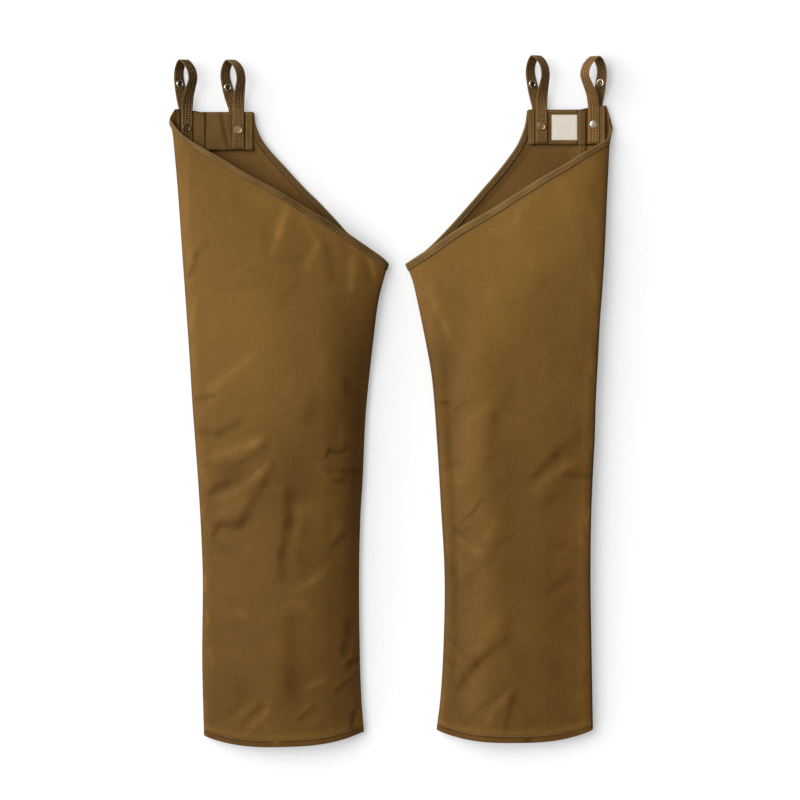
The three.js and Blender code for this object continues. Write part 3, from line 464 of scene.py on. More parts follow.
# A closed sheet of cloth between two grids, its rim rounded by one line between them
def shell(name, outer, inner, tone=None, bulge=0.45):
    rows, columns = outer.shape[:2]
    index = np.arange(rows * columns).reshape(rows, columns)
    rim = np.concatenate([index[0, :-1], index[:-1, -1], index[-1, :0:-1], index[:0:-1, 0]])
    within = np.clip(np.indices((rows, columns)), 1, np.array([rows - 2, columns - 2])[:, None, None])
    inside = index[within[0], within[1]].ravel()
    flatOuter, flatInner = outer.reshape(-1, 3), inner.reshape(-1, 3)
    middle = (flatOuter + flatInner) / 2
    thick = np.linalg.norm(flatOuter - flatInner, axis=1)
    away = unit(middle[rim] - middle[inside[rim]])
    lip = middle[rim] + away * (thick[rim] * bulge)[:, None]
    count, total = rows * columns, len(rim)
    following = np.roll(np.arange(total), -1)
    lipIndex = 2 * count + np.arange(total)
    quads = np.concatenate([
        gridQuads(rows, columns),
        gridQuads(rows, columns, count)[:, ::-1],
        np.stack([rim[following], rim, lipIndex, lipIndex[following]], 1),
        np.stack([lipIndex[following], lipIndex, rim + count, rim[following] + count], 1),
    ])
    places = flatPlaces(outer).reshape(-1, 2)
    values = np.zeros(count) if tone is None else tone.ravel()
    return meshFrom(
        name,
        np.concatenate([flatOuter, flatInner, lip]),
        quads,
        np.concatenate([places, places, places[rim]]),
        np.concatenate([values, values, values[rim]]),
    )


# A sheet whose underside lies flat
def flatBacked(name, outer, low, tone, bulge):
    inner = outer.copy()
    inner[..., 2] = low
    return shell(name, outer, inner, tone, bulge)


def wear(piece, slotName, *nodes):
    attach(piece, "root")
    if nodes:
        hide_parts(*nodes)
    return piece


# The distance along a line of points, from its start
def runOf(points):
    return np.concatenate([[0], np.linalg.norm(np.diff(points, axis=0), axis=-1).cumsum()])


def sampled(values, keys, at):
    return np.stack([np.interp(at, keys, values[:, k]) for k in range(3)], 1)


# Short threads laid end to end along lines of (points, normals). Each stitch is a spindle with
# four sides, bent over the cloth: its rows are (share of the length, width, rise).
thread = {"pitch": 4.4, "length": 2.6, "thick": 0.75, "uneven": 0.06, "flat": 1.25}
spindle = np.array([(-0.5, 0.3, -0.5), (-0.28, 0.95, 0.1), (0.28, 0.95, 0.1), (0.5, 0.3, -0.5)])


def stitches(name, lines, pitch=thread["pitch"], length=thread["length"], thick=thread["thick"], seed=1):
    radius = thick / 2
    dice = np.random.default_rng(seed)
    centres, tangents, normals = [], [], []
    for points, facing in lines:
        run = runOf(points)
        at = np.arange(pitch / 2, run[-1] - pitch / 3, pitch)
        at = at + dice.uniform(-thread["uneven"], thread["uneven"], len(at)) * pitch
        centres.append(sampled(points, run, at))
        tangents.append(sampled(points, run, at + 0.4) - sampled(points, run, at - 0.4))
        normals.append(sampled(facing, run, at))
    centre, tangent = np.concatenate(centres), unit(np.concatenate(tangents))
    normal = np.concatenate(normals)
    side = unit(np.cross(tangent, normal))
    normal = np.cross(side, tangent)
    angles = np.arange(4) * np.pi / 2 + np.pi / 4
    ring = np.array([[t * length, thread["flat"] * w * radius * np.cos(a), radius * (w * np.sin(a) + rise)]
                     for t, w, rise in spindle for a in angles])
    local = np.stack([tangent, side, normal], 1)
    points = centre[:, None] + np.einsum("pk,nkx->npx", ring, local)
    around = np.array([(m, (m + 1) % 4, (m + 1) % 4 + 4, m + 4) for m in range(4)])
    quads = np.concatenate([around, around + 4, around + 8, [(3, 2, 1, 0), (12, 13, 14, 15)]])
    every = (quads[None] + 16 * np.arange(len(centre))[:, None, None]).reshape(-1, 4)
    return meshFrom(name, points.reshape(-1, 3), every, sharp=0)


print("stage: helpers ready")

# Front panels. Columns run from the side seam under the leg, round the outer roll, over the
# crown and round the inseam. Rows run from the hem to the slanting edge, with closer ones at set
# distances from both, for the hem's stitching and the tape. middle is a row and column on the
# crown, where the cloth faces up.
front = {
    "underColumns": 7, "rollColumns": 9, "topColumns": 104, "wrapColumns": 5, "edgeEvenness": 0.35,
    "closeColumns": np.array([0.0008, 0.0025]), "rows": 300, "middle": (150, 60),
    "hemDistances": [0, 1.2, 2.6, 4.4, 6.4, 8, 8.9, 9.5, 10.1, 11, 12.6, 14.6],
    "tapeDistances": [13, 11, 9.6, 8.9, 8.2, 7.5, 6.2, 4.7, 3.1, 1.5, 0],
    "hemStitch": 9.5, "hemGroove": 0.55, "grooveWide": 0.9, "hemPucker": 0.22, "puckerWide": 5,
    "hemFold": 5, "hemRows": (9, 6, 4, 2, 1), "levelFrom": (14, 30),
}


def frontColumns():
    turns = np.concatenate([np.linspace(2, 1, front["underColumns"]),
                            np.linspace(1, 0, front["rollColumns"] + 1)[1:-1]])
    across = crowded(front["topColumns"], front["edgeEvenness"])
    across = np.unique(np.concatenate([across, front["closeColumns"], 1 - front["closeColumns"]]))
    back = np.concatenate([np.linspace(0, 1, front["rollColumns"] + 1)[1:],
                           np.linspace(1, 2, front["wrapColumns"])[1:]])
    return turns, across, back


# The rows' shares of a column: at set distances from the hem and the top, even between them
def rowShares(length):
    length = np.asarray(length, float)
    low = np.array(front["hemDistances"])[:, None] / length
    top = 1 - np.array(front["tapeDistances"])[:, None] / length
    middle = mix(low[-1], top[0], np.linspace(0, 1, front["rows"])[1:-1, None])
    return np.concatenate([low, middle, top])


# The outer wrap, the crowned top and the inseam's roll side by side
def frontGrid(leg):
    turns, across, back = frontColumns()
    outer = outerWrap(leg, turns[None], rowShares(np.full(len(turns), columnLength(leg, 0))))
    top = topGrid(leg, across[None], rowShares(columnLength(leg, across)))
    inner = inseamRoll(leg, back[None], rowShares(np.full(len(back), columnLength(leg, 1))))
    return np.concatenate([outer, top, inner], 1), turns, across, back


# The fronts' tones. fading is (up, tone): paler near the waist and darker down the shin.
# patches are soft places as (out, up, wide, high, tone); the dark ones beside the inseam are painted shade.
# creases weighs the creases' painted highlights and shade, lowCreases those on the shin again. strip is a
# painted shade along the inseam, where the roll turns from the light, as (width, tone). mouth is painted
# shade on the wrap's inner face in the mouth's outer corner. lump is where the inseam's seam makes the hem
# thick, as (out, width, tone); on the left its tone is a painted highlight on the step it makes.
frontTones = {
    "left": {
        "fading": [(-620, -0.5), (-500, -0.62), (-400, -0.48), (-300, -0.33), (-180, -0.42), (-60, -0.05),
                   (100, 0.22), (200, 0.4), (320, 0.65), (420, 0.35)],
        "patches": [(62, 20, 28, 190, -1.0), (225, 60, 50, 200, 0.35), (165, -130, 30, 60, -0.5),
                    (95, -200, 30, 70, 0.5), (330, 330, 60, 90, -0.2), (255, 370, 60, 40, 0.2),
                    (60, -330, 30, 90, 0.4)],
        "creases": 1.45, "lowCreases": 1.25, "strip": (26, -0.55), "mouth": -4.2, "lump": (193, 5, 0.8),
    },
    "right": {
        "fading": [(-620, -0.42), (-400, -0.36), (-200, -0.28), (-90, -0.18), (0, 0.15), (110, 0.48),
                   (220, 0.95), (310, 0.9), (420, 0.7)],
        "patches": [(96, 90, 46, 150, -0.9), (116, -440, 18, 170, -0.35), (190, 120, 50, 160, 0.5),
                    (170, -420, 26, 200, 0.45), (275, -440, 26, 120, -0.45), (325, -220, 20, 40, 0.9),
                    (315, 330, 50, 80, 0.4)],
        "creases": 1.0, "lowCreases": 1.0, "strip": (12, -0.5), "mouth": -3.0, "lump": (228, 7, -1.6),
    },
}
# Where those tones change: (up, up) or, for the mouth's roll, (turn, turn)
toneSpans = {"shin": (-280, -120), "shadedStripTop": (120, 240), "mouth": (430, 448), "mouthRoll": (0.4, 1.0)}
# The inseam's painted shade strip fades between these distances from its width
shadedStripSoft = (-10, 4)
# The hem: a shade darker, darkest along its stitching as painted shade in the groove, and paler above, as
# (distance from the edge, width, tone)
hemTone = {"fold": (8.4, 9.6), "inside": -0.35, "line": (8, 1.2, -1.9), "paleBand": (15, 6, 0.7),
           "paleBandFrom": (9.6, 11), "lumpGap": 9}


def hemTones(lump, out, fromHem):
    lumpOut, lumpWide, lumpTone = lump
    lineAt, lineWide, lineTone = hemTone["line"]
    paleBandAt, paleBandWide, paleBandTone = hemTone["paleBand"]
    inHem = 1 - ramp(*hemTone["fold"], fromHem)
    line = lineTone * bell((fromHem - lineAt) / lineWide) * (1 - bell((out - lumpOut) / hemTone["lumpGap"]))
    paleBand = paleBandTone * bell((fromHem - paleBandAt) / paleBandWide) * ramp(*hemTone["paleBandFrom"], fromHem)
    return line + hemTone["inside"] * inHem + paleBand + lumpTone * inHem * bell((out - lumpOut) / lumpWide)


def frontShade(leg, tones, grid, creaseShade, turns):
    out, up = leg["side"] * grid[..., 0], grid[..., 1]
    faded = through(tones["fading"], up)
    for outMid, upMid, wide, high, amount in tones["patches"]:
        faded = faded + amount * bell((out - outMid) / wide) * bell((up - upMid) / high)
    shade = creaseShade * tones["creases"] * mix(tones["lowCreases"], 1, ramp(*toneSpans["shin"], up)) + faded
    shade += hemTones(tones["lump"], out, np.linalg.norm(grid - grid[:1], axis=-1))
    # Painted shade along the inseam, where the roll turns away from the light, and inside the mouth's outer
    # corner
    wide, dark = tones["strip"]
    inShadedStrip = 1 - ramp(wide + shadedStripSoft[0], wide + shadedStripSoft[1], out - inseamAt(leg, up))
    shade += dark * inShadedStrip * (1 - ramp(*toneSpans["shadedStripTop"], up))
    wrap = slice(len(turns))
    inMouthShade = ramp(*toneSpans["mouth"], up[:, wrap])
    shade[:, wrap] += tones["mouth"] * ramp(*toneSpans["mouthRoll"], turns) * inMouthShade
    return shade


# The creases, and at the hem its stitching's groove and puckers, along the cloth's own normal.
# The creases fade out towards the slanting edge and the leg's two sides.
def frontRelief(leg, grid, roundness):
    out, up = leg["side"] * grid[..., 0], grid[..., 1]
    tone, relief = creaseSums(leg, out, up)
    fromHem = np.linalg.norm(grid - grid[:1], axis=-1)
    fromStitch = fromHem - front["hemStitch"]
    pucker = np.sin(out * 1.15 + 2 * np.sin(out * 0.31)) * bell((fromStitch + 1) / front["puckerWide"])
    groove = -front["hemGroove"] * bell(fromStitch / front["grooveWide"])
    fade = ramp(*front["levelFrom"], np.linalg.norm(grid - grid[-1:], axis=-1)) * ramp(0, 0.12, roundness)
    return relief * fade + (groove + front["hemPucker"] * pucker) * ramp(0, 0.2, roundness), tone


# The cloth turned up inside the hem, and its fold: a half circle about the edge
def turnedHem(grid, normals, depth):
    radius = form["wall"] + form["gap"] / 2
    edge, facing = grid[0], normals[0]
    outward = unit(edge - grid[2])
    rows = []
    for k in front["hemRows"]:
        rows.append(mix(edge, grid[k], depth) - 2 * radius * unit(mix(facing, normals[k], depth)))
    for angle in np.linspace(np.pi, 0, front["hemFold"] + 1)[:-1]:
        rows.append(edge + radius * (facing * (np.cos(angle) - 1) + outward * np.sin(angle)))
    return np.concatenate([np.array(rows), grid])


built = {}
for side, leg in legs.items():
    grid, turns, across, back = frontGrid(leg)
    roundness = np.concatenate([np.zeros(len(turns)), halfRound(across), np.zeros(len(back))])
    row, column = front["middle"]
    normals = upNormals(grid, row, column)
    relief, creaseShade = frontRelief(leg, grid, roundness[None])
    tone = frontShade(leg, frontTones[side], grid, creaseShade, turns)
    grid = grid + normals * relief[..., None]
    depth = np.concatenate([ramp(1.75, 1.35, turns), np.ones(len(across)), ramp(2, 1.2, back)])
    hemmed = turnedHem(grid, normals, depth[:, None])
    turnedRows = len(hemmed) - len(grid)
    built[side] = {"grid": grid, "normals": normals}
    tone = np.concatenate([np.zeros((turnedRows, tone.shape[1])), tone])
    facing = upNormals(hemmed, turnedRows + row, column)
    piece = shell(f"front_panel_{side}", hemmed, hemmed - facing * form["wall"], tone)
    built[side]["front"] = wear(piece, "canvas", f"front_{side}")
print("stage: front panels")

# Back panels: level rows between the side seam and the inseam, then the hollow back edge.
# Their side edges lie raised on the front's wraps.
backForm = {"rows": 46, "upperRows": 96, "columns": 76, "evenness": 0.45, "seamWide": 10, "seamHigh": 0.9,
            "seamFrom": (300, 330), "hemShort": 3, "sagFrom": -450, "mottle": 0.35}


# The back's inner edge: a lap in from the inseam, then straight to the hollow edge and along it
def backInner(leg, up):
    low = inseamAt(leg, up) + form["inseamLap"]
    atCrotch = inseamAt(leg, np.array(float(leg["crotch"]))) + form["inseamLap"]
    start, first = leg["backEdge"][0]
    joined = mix(atCrotch, first, ramp(leg["crotch"], start, up))
    high = through(leg["backEdge"], up)
    return np.where(up <= leg["crotch"], low, np.where(up < start, joined, high))


# The back lies at the waist's lift, one lap higher where its edges rest on the front
def backHigh(leg, out, up):
    fromEdge = np.minimum(seamAt(leg, up) - out, out - backInner(leg, up))
    return lift(up) + lapHigh * (1 - ramp(form["lapFlat"], form["lapEnd"], fromEdge))


for side, leg in legs.items():
    hemUp = leg["inseam"][0][0]
    start = leg["backEdge"][0][0]
    distances = np.array(front["hemDistances"])
    lowRows = hemUp + np.concatenate([distances, np.linspace(20, leg["crotch"] - hemUp, backForm["rows"])])
    highRows = np.linspace(leg["crotch"], leg["waist"], backForm["upperRows"] + 1)[1:]
    up = np.concatenate([lowRows, highRows])[:, None]
    out = mix(seamAt(leg, up), backInner(leg, up), crowded(backForm["columns"], backForm["evenness"])[None])
    hemShare = (outsideAt(leg, up) - out) / (outsideAt(leg, up) - inseamAt(leg, up))
    drop = (hemDrop(np.clip(hemShare, 0, 1)) - backForm["hemShort"]) * ramp(backForm["sagFrom"], hemUp, up)
    grid = placed(leg, out, up - drop, backHigh(leg, out, up))
    upper = grid + np.array([0, 0, form["wall"]])
    fromSeam = seamAt(leg, up) - out
    seam = backForm["seamHigh"] * (1 - ramp(backForm["seamWide"], backForm["seamWide"] + 1.2, fromSeam))
    belowBand = ramp(leg["band"]["low"] + 1, leg["band"]["low"] - 3, up) * ramp(*backForm["seamFrom"], up)
    upper[..., 2] += seam * belowBand
    tone = backForm["mottle"] * np.sin(out / 37 + up / 61) * np.sin(up / 43 - out / 71)
    piece = shell(f"back_panel_{side}", upper, grid, tone)
    built[side]["back"] = wear(piece, "canvas", f"back_{side}")
print("stage: back panels")

# Bindings: tape folded over an edge. A line of the section runs in along the face, round the
# edge and back along the inside. The left front's tape is pieced at join, a share of its length.
# The tape's tone follows its relief, painted shade in its stitch groove and painted light on its join and
# puckers; its folded rim has a painted highlight and its face's low edge a painted shadow.
binding = {"steps": 6, "stitchAt": 2, "groove": 0.35, "grooveWide": 0.8, "reliefShading": 0.6, "pucker": 0.22,
           "puckerWide": 3.5, "frontSteps": 420, "backSteps": 300, "length": 430, "join": {"left": 0.06},
           "joinHigh": 0.8, "joinWide": 1.1, "joinSlant": 0.25, "wave": 0.25, "from": 0.003, "evenness": 0.5,
           "middle": (2, 200), "rimHighlight": 1.0, "edgeShadow": -0.3}
# How far the threads stand off the cloth they lie on
threadClear = {"tape": 0.02, "band": 0.03, "panel": 0.05}
# The front tapes' tone along them, as (out, tone)
tapeTones = {"left": [(0, -1.1), (120, -0.9), (190, -0.6), (215, 0.3), (372, 0.7)],
             "right": [(25, 0.1), (120, 0.5), (220, 0.7), (290, 0.2), (368, -0.4)]}


# A tape folded over the wall's edge: lines on the face, a half circle round the edge and the
# same lines back inside, given the tape's thickness along its own normals
def tapeShell(name, face, normals, outward, wallThick, groove, shade, edgeShadow, nodes):
    clear = form["gap"] + form["tape"] / 2
    radius = wallThick / 2 + clear
    edge, facing = face[-1], normals[-1]
    centre = edge - facing * wallThick / 2
    lines = [p + n * (clear + g)[:, None] for p, n, g in zip(face, normals, groove)]
    for angle in np.linspace(0, np.pi, binding["steps"] + 1)[1:-1]:
        lines.append(centre + radius * (facing * np.cos(angle) + outward * np.sin(angle)))
    lines += [p - n * (wallThick + clear) for p, n in zip(face[::-1], normals[::-1])]
    path = np.array(lines)
    away = normalsOf(path)
    if (away[1] * normals[1]).sum() < 0:
        away = -away
    half = form["tape"] / 2
    tone = np.zeros(path.shape[:2]) + shade
    # Painted shade and light that follow the groove, a painted highlight on the folded rim and a painted
    # shadow along the low edge
    tone[:len(face)] += groove / binding["groove"] * binding["reliefShading"]
    tone[len(face) - 1:len(face) + 2] += binding["rimHighlight"]
    tone[:2] += edgeShadow
    piece = shell(name, path + away * half, path - away * half, tone)
    return wear(piece, "binding", *nodes)


def stitchGroove(fromLow, at):
    return -binding["groove"] * bell((fromLow - at) / binding["grooveWide"])


seams = {side: [] for side in legs}
for side, leg in legs.items():
    across = mix(binding["from"], 1, crowded(binding["frontSteps"], binding["evenness"]))
    distances = np.array(front["tapeDistances"][2:])
    along = 1 - distances[:, None] / columnLength(leg, across)
    face = topGrid(leg, across[None], along)
    normals = upNormals(face, *binding["middle"])
    fromLow = front["tapeDistances"][2] - distances[:, None]
    run = runOf(face[3])[None]
    wave = np.sin(run * 1.7 + 1.5 * np.sin(run * 0.37)) * (0.6 + 0.4 * np.sin(run * 0.11))
    puckers = binding["pucker"] * wave * bell((fromLow - binding["stitchAt"] - 1) / binding["puckerWide"])
    groove = stitchGroove(fromLow, binding["stitchAt"]) + puckers + binding["wave"] * np.sin(run * 0.09 + 1)
    if side in binding["join"]:
        line = (across[None] - binding["join"][side]) * binding["length"]
        line = line + binding["joinSlant"] * (fromLow - 6)
        groove = groove + binding["joinHigh"] * bell(line / binding["joinWide"])
    outward = unit(face[-1] - face[-2])
    shade = through(tapeTones[side], leg["side"] * face[0, :, 0])
    tapeShell(f"front_edge_binding_{side}", face, normals, outward, form["wall"], groove, shade,
              binding["edgeShadow"], [f"front_binding_{side}"])
    k = int(np.argmin(np.abs(fromLow[:, 0] - binding["stitchAt"])))
    height = form["gap"] + form["tape"] + groove[k] + threadClear["tape"]
    seams[side].append((face[k, 3:-3] + (normals[k] * height[:, None])[3:-3], normals[k, 3:-3]))

# The back tape's inner edge gets a strong painted contact shadow
backTape = {"wide": 8.4, "distances": [8.4, 7.7, 7, 6.3, 5.6, 4.4, 3, 1.5, 0], "stitchRow": 3,
            "stitchAt": 2.1, "leastWide": 2.4, "bandClear": 0.8, "smooth": 9, "pucker": 0.15, "tone": -0.9,
            "edgeShadow": -1.6}
for side, leg in legs.items():
    start = leg["backEdge"][0][0]
    up = np.linspace(start + 3, leg["waist"] - 1.5, binding["backSteps"])
    edge = np.stack([leg["side"] * backInner(leg, up), up], -1)
    tangent = unit(np.gradient(edge, axis=0))
    inward = np.stack([-tangent[:, 1], tangent[:, 0]], -1)
    inward *= np.sign((inward[:, :1] * leg["side"]).mean())
    room = leg["band"]["inner"] - backTape["bandClear"] - leg["side"] * edge[:, 0]
    wide = np.where(up > leg["band"]["low"] - 4, np.clip(room, backTape["leastWide"], backTape["wide"]),
                    backTape["wide"])
    smooth = backTape["smooth"]
    wide = np.convolve(np.pad(wide, smooth // 2, mode="edge"), np.ones(smooth) / smooth, "valid")
    distances = np.array(backTape["distances"])[:, None] * wide / backTape["wide"]
    places = edge[None] + inward[None] * distances[..., None]
    z = backHigh(leg, leg["side"] * places[..., 0], np.minimum(places[..., 1], up.max())) + form["wall"]
    face = np.concatenate([places, z[..., None]], -1)
    normals = np.zeros_like(face)
    normals[..., 2] = 1
    outward = np.concatenate([-inward, np.zeros((len(up), 1))], 1)
    run = runOf(edge)[None]
    fromLow = backTape["wide"] - np.array(backTape["distances"])[:, None]
    groove = stitchGroove(fromLow, backTape["stitchAt"]) \
        + backTape["pucker"] * np.sin(run * 1.6 + np.sin(run * 0.3)) * bell((fromLow - 3) / 3)
    tapeShell(f"back_edge_binding_{side}", face, normals, outward, form["wall"], groove, backTape["tone"],
              backTape["edgeShadow"], [f"back_binding_{side}"])
    k = backTape["stitchRow"]
    height = form["gap"] + form["tape"] + groove[k] + threadClear["tape"]
    keep = slice(6, int((up < leg["band"]["low"] - 2).sum()))
    seams[side].append((face[k][keep] + normals[k][keep] * height[keep, None], normals[k][keep]))
print("stage: bindings")

# Waist bands: flat cloth with a turned top edge, folded ends and a loose lower edge. The left
# band has a slack fold across it, the right one a level bed under the label.
bandForm = {
    "columns": 130, "rows": 64, "topTurn": (4.5, 5.5), "topStitch": 2.6, "topSag": 0.8, "turnHigh": 0.35,
    "groove": 0.3, "innerFold": {"left": 11.8, "right": 10.6}, "flap": {"left": 6, "right": 9.4},
    "foldHigh": 1.2, "flapRise": {"left": 2, "right": 6}, "looseHigh": 1.5, "wave": 0.4, "strapReach": 11,
    "slackAt": 275, "slackSway": 10, "slackDeep": 1.3, "slackWide": 4, "slackClear": (256, 8),
    "bedMiddle": (291.2, 458.3), "bedHalf": (21.4, 21.3), "endRows": (2.2, 2.4),
}
# Painted shade: darker beside whatever is sewn on it, beside its folded ends and along the slack fold, with a
# painted shadow under its loose low edge; the outer end is dark on the left, painted shade in its hollow
# corner, and pale on the right
bandTone = {"outer": {"left": -2.4, "right": 2.4}, "outerFrom": {"left": (351, 355), "right": (348, 351)},
            "strip": -2.6, "strap": -2.2, "fold": -1.2, "slackShade": -0.9, "lowEdgeShadow": -2.2, "broad": 0.3}


# A line of stitching that faces straight up
def flatRow(leg, outs, ups, high):
    points = placed(leg, outs, ups, high).astype(float)
    normals = np.zeros_like(points)
    normals[:, 2] = 1
    return points, normals


# Near 1 under a strap, falling off to 0 beside it
def underStraps(leg, out):
    return sum(bell((out - strap["out"]) / bandForm["strapReach"]) ** 2 for strap in leg["straps"].values())


# How far outside the seam strip a place is
def pastStrip(leg, out):
    return np.abs(out - np.mean(leg["strip"])) - (leg["strip"][1] - leg["strip"][0]) / 2


# The turned top edge hangs in a shallow arc between the straps
def topSag(leg, out):
    band = leg["band"]
    arc = np.sin((out - band["inner"]) / (band["outer"] - band["inner"]) * np.pi)
    return bandForm["topSag"] * arc * (1 - underStraps(leg, out))


# How far past the left band's slack fold, which sways a little on its way up
def pastSlack(out, up):
    return out - (bandForm["slackAt"] + bandForm["slackSway"] * np.sin((up - 420) / 64 * 1.5 - 0.4))


# A folded end stands foldHigh above the band as far in as the fold is wide
def foldedEnd(distance, wide):
    return bandForm["foldHigh"] * (1 - easeRamp(wide - 0.8, wide + 0.6, distance))


# The band's height: its turned edge, stitch groove, folds and waves added up
def bandHigh(leg, side, out, up):
    band = leg["band"]
    folds = foldedEnd(out - band["inner"], bandForm["innerFold"][side]) \
        + foldedEnd(band["outer"] - out, bandForm["flap"][side])
    fromTop, fromLow = band["high"] - up, up - band["low"]
    turned = bandForm["turnHigh"] * (1 - easeRamp(*bandForm["topTurn"], fromTop))
    groove = -bandForm["groove"] * bell((fromTop - bandForm["topStitch"]) / 0.6)
    loose = bandForm["looseHigh"] * bell(fromLow / 7) * (0.7 + 0.3 * np.sin(out * 0.21 + 1))
    wave = bandForm["wave"] * np.sin(out * 0.11 + 2) * np.sin(up * 0.07)
    clear = 1 - np.clip(1.6 * underStraps(leg, out), 0, 1)
    strip = 1 - easeRamp(0, 3, pastStrip(leg, out))
    high = turned + groove + (folds + (loose + wave) * (1 - strip)) * clear
    if side == "left":
        clearAt, clearWide = bandForm["slackClear"]
        slackShade = bell(pastSlack(out, up) / bandForm["slackWide"]) * (1 - bell((out - clearAt) / clearWide))
        high = high - bandForm["slackDeep"] * slackShade
    else:
        inBed = [1 - easeRamp(0, 3, np.abs(at - middle) - half)
                 for at, middle, half in zip((out, up), bandForm["bedMiddle"], bandForm["bedHalf"])]
        high = high * (1 - inBed[0] * inBed[1])
    return bandTop + high


def bandShade(leg, side, out, up, share):
    band = leg["band"]
    shade = bandTone["strip"] * bell((pastStrip(leg, out) - 1) / 1.4)
    for strap in leg["straps"].values():
        shade = shade + bandTone["strap"] * bell((np.abs(out - strap["out"]) - strapWide / 2 - 1) / 1.5)
    for distance, wide in ((out - band["inner"], bandForm["innerFold"][side]),
                           (band["outer"] - out, bandForm["flap"][side])):
        shade = shade + bandTone["fold"] * bell((distance - wide - 0.8) / 1.2)
    shade = shade + bandTone["outer"][side] * ramp(*bandTone["outerFrom"][side], out)
    if side == "left":
        shade = shade + bandTone["slackShade"] * bell(pastSlack(out, up) / 3.5)
    return bandTone["lowEdgeShadow"] * bell(share / 0.025) + bandTone["broad"] * np.sin(out * 0.09) + shade


for side, leg in legs.items():
    band = leg["band"]
    out = np.linspace(band["inner"], band["outer"], bandForm["columns"])[None]
    share = np.linspace(0, 1, bandForm["rows"])[:, None]
    flap = bandForm["flap"][side]
    rise = bandForm["flapRise"][side] * (1 - ramp(flap - 0.5, flap + 0.5, band["outer"] - out))
    up = mix(band["low"] + 0 * out, band["high"] + rise - topSag(leg, out), share)
    z = bandHigh(leg, side, out, np.minimum(up, band["high"]))
    outer = placed(leg, out, up, z)
    inner = outer.copy()
    inner[..., 2] = np.minimum(z - form["wall"], bandTop - form["wall"] + 0.9 * (z - bandTop))
    piece = shell(f"waist_cloth_{side}", outer, inner, bandShade(leg, side, out, up, share))
    built[side]["band"] = wear(piece, "canvas", f"waist_band_{side}")
    ups = np.linspace(band["low"] + 1, band["high"] - 1, 120)
    edgeRow, foldRow = bandForm["endRows"]
    for at in (band["inner"] + edgeRow, band["inner"] + bandForm["innerFold"][side] - foldRow,
               band["outer"] - edgeRow):
        high = bandHigh(leg, side, at + 0 * ups, ups) + threadClear["band"]
        seams[side].append(flatRow(leg, at, ups, high))
    outs = np.linspace(band["inner"] + 1, band["outer"] - 1, 200)
    tops = band["high"] - bandForm["topStitch"] + 0 * outs
    innerStrap, outerStrap = leg["straps"]["inner"]["out"], leg["straps"]["outer"]["out"]
    for keep in (outs < innerStrap - 10,
                 (outs > innerStrap + 10) & (outs < leg["strip"][0] - 1),
                 (outs > leg["strip"][1] + 1) & (outs < outerStrap - 10)):
        if keep.sum() > 4:
            high = bandHigh(leg, side, outs[keep], tops[keep]) + threadClear["band"]
            seams[side].append(flatRow(leg, outs[keep], (tops - topSag(leg, outs))[keep], high))
print("stage: waist bands")

# Seam strips: a narrow felled strip with two rows of stitching, its edges turned under
stripForm = {"high": 1.2, "rows": {"left": (3.2, 11.2), "right": (2.2, 9.8)}, "steps": 90, "across": 28,
             "edgeRound": 0.55, "groove": 0.3, "pucker": 0.1, "threadHigh": 0.92}
for side, leg in legs.items():
    low, high = leg["strip"]
    out = mix(low, high, np.linspace(0, 1, stripForm["across"])[None])
    up = np.linspace(leg["band"]["low"] - 0.5, leg["band"]["high"] - 0.3, stripForm["steps"])[:, None]
    edge = np.minimum(out - low, high - out)
    crown = -stripForm["edgeRound"] * bell(edge / 1.6)
    grooves = -sum(stripForm["groove"] * bell((out - low - at) / 0.7) for at in stripForm["rows"][side])
    pucker = stripForm["pucker"] * np.sin(up * 1.5 + 0.4 * out)
    z = onBand + stripForm["high"] + crown + grooves + pucker * ramp(0, 2, edge)
    # Its tone is painted shade in the stitch grooves
    piece = flatBacked(f"seam_cloth_{side}", placed(leg, out, up, z), onBand, grooves / 0.5 + 0 * up, 0.3)
    built[side]["strip"] = wear(piece, "canvas", f"seam_strip_{side}")
    top = onBand + stripForm["threadHigh"]
    for at in stripForm["rows"][side]:
        seams[side].append(flatRow(leg, low + at, up[2:-2, 0], top))

# The side seam's two rows, where it runs on below the band
sideSeam = {"insets": (2.0, 7.6), "from": 300}
for side, leg in legs.items():
    ups = np.linspace(sideSeam["from"], leg["band"]["low"] - 2, 90)
    seamHigh = backForm["seamHigh"] * ramp(*backForm["seamFrom"], ups)
    for inset in sideSeam["insets"]:
        high = lift(ups) + lapHigh + form["wall"] + seamHigh + threadClear["panel"]
        seams[side].append(flatRow(leg, seamAt(leg, ups) - inset, ups, high))
print("stage: seam strips")

# Belt loops: each is one strap, sewn down the band, up, over and down behind the waist.
# behind is where its back run starts and ends, by rows of loopShape. thread is a stitch's pitch,
# length and thickness.
loopForm = {"steps": 150, "across": 39, "crowd": 1.15, "grooves": (-7.2, -2.4, 2.4, 7.2), "grooveDeep": 0.5,
            "grooveWide": 0.75, "edgeRound": 0.7, "edgeWide": 0.7, "reliefShading": -1.5, "toneAt": 1.1,
            "toneWide": 0.6, "edgeTone": 1.0, "leanMost": 0.73, "ripple": 0.12,
            "behind": (11.5, 12.5, 16, 17), "threadHigh": 0.3, "thread": (4.3, 2.3, 0.9)}
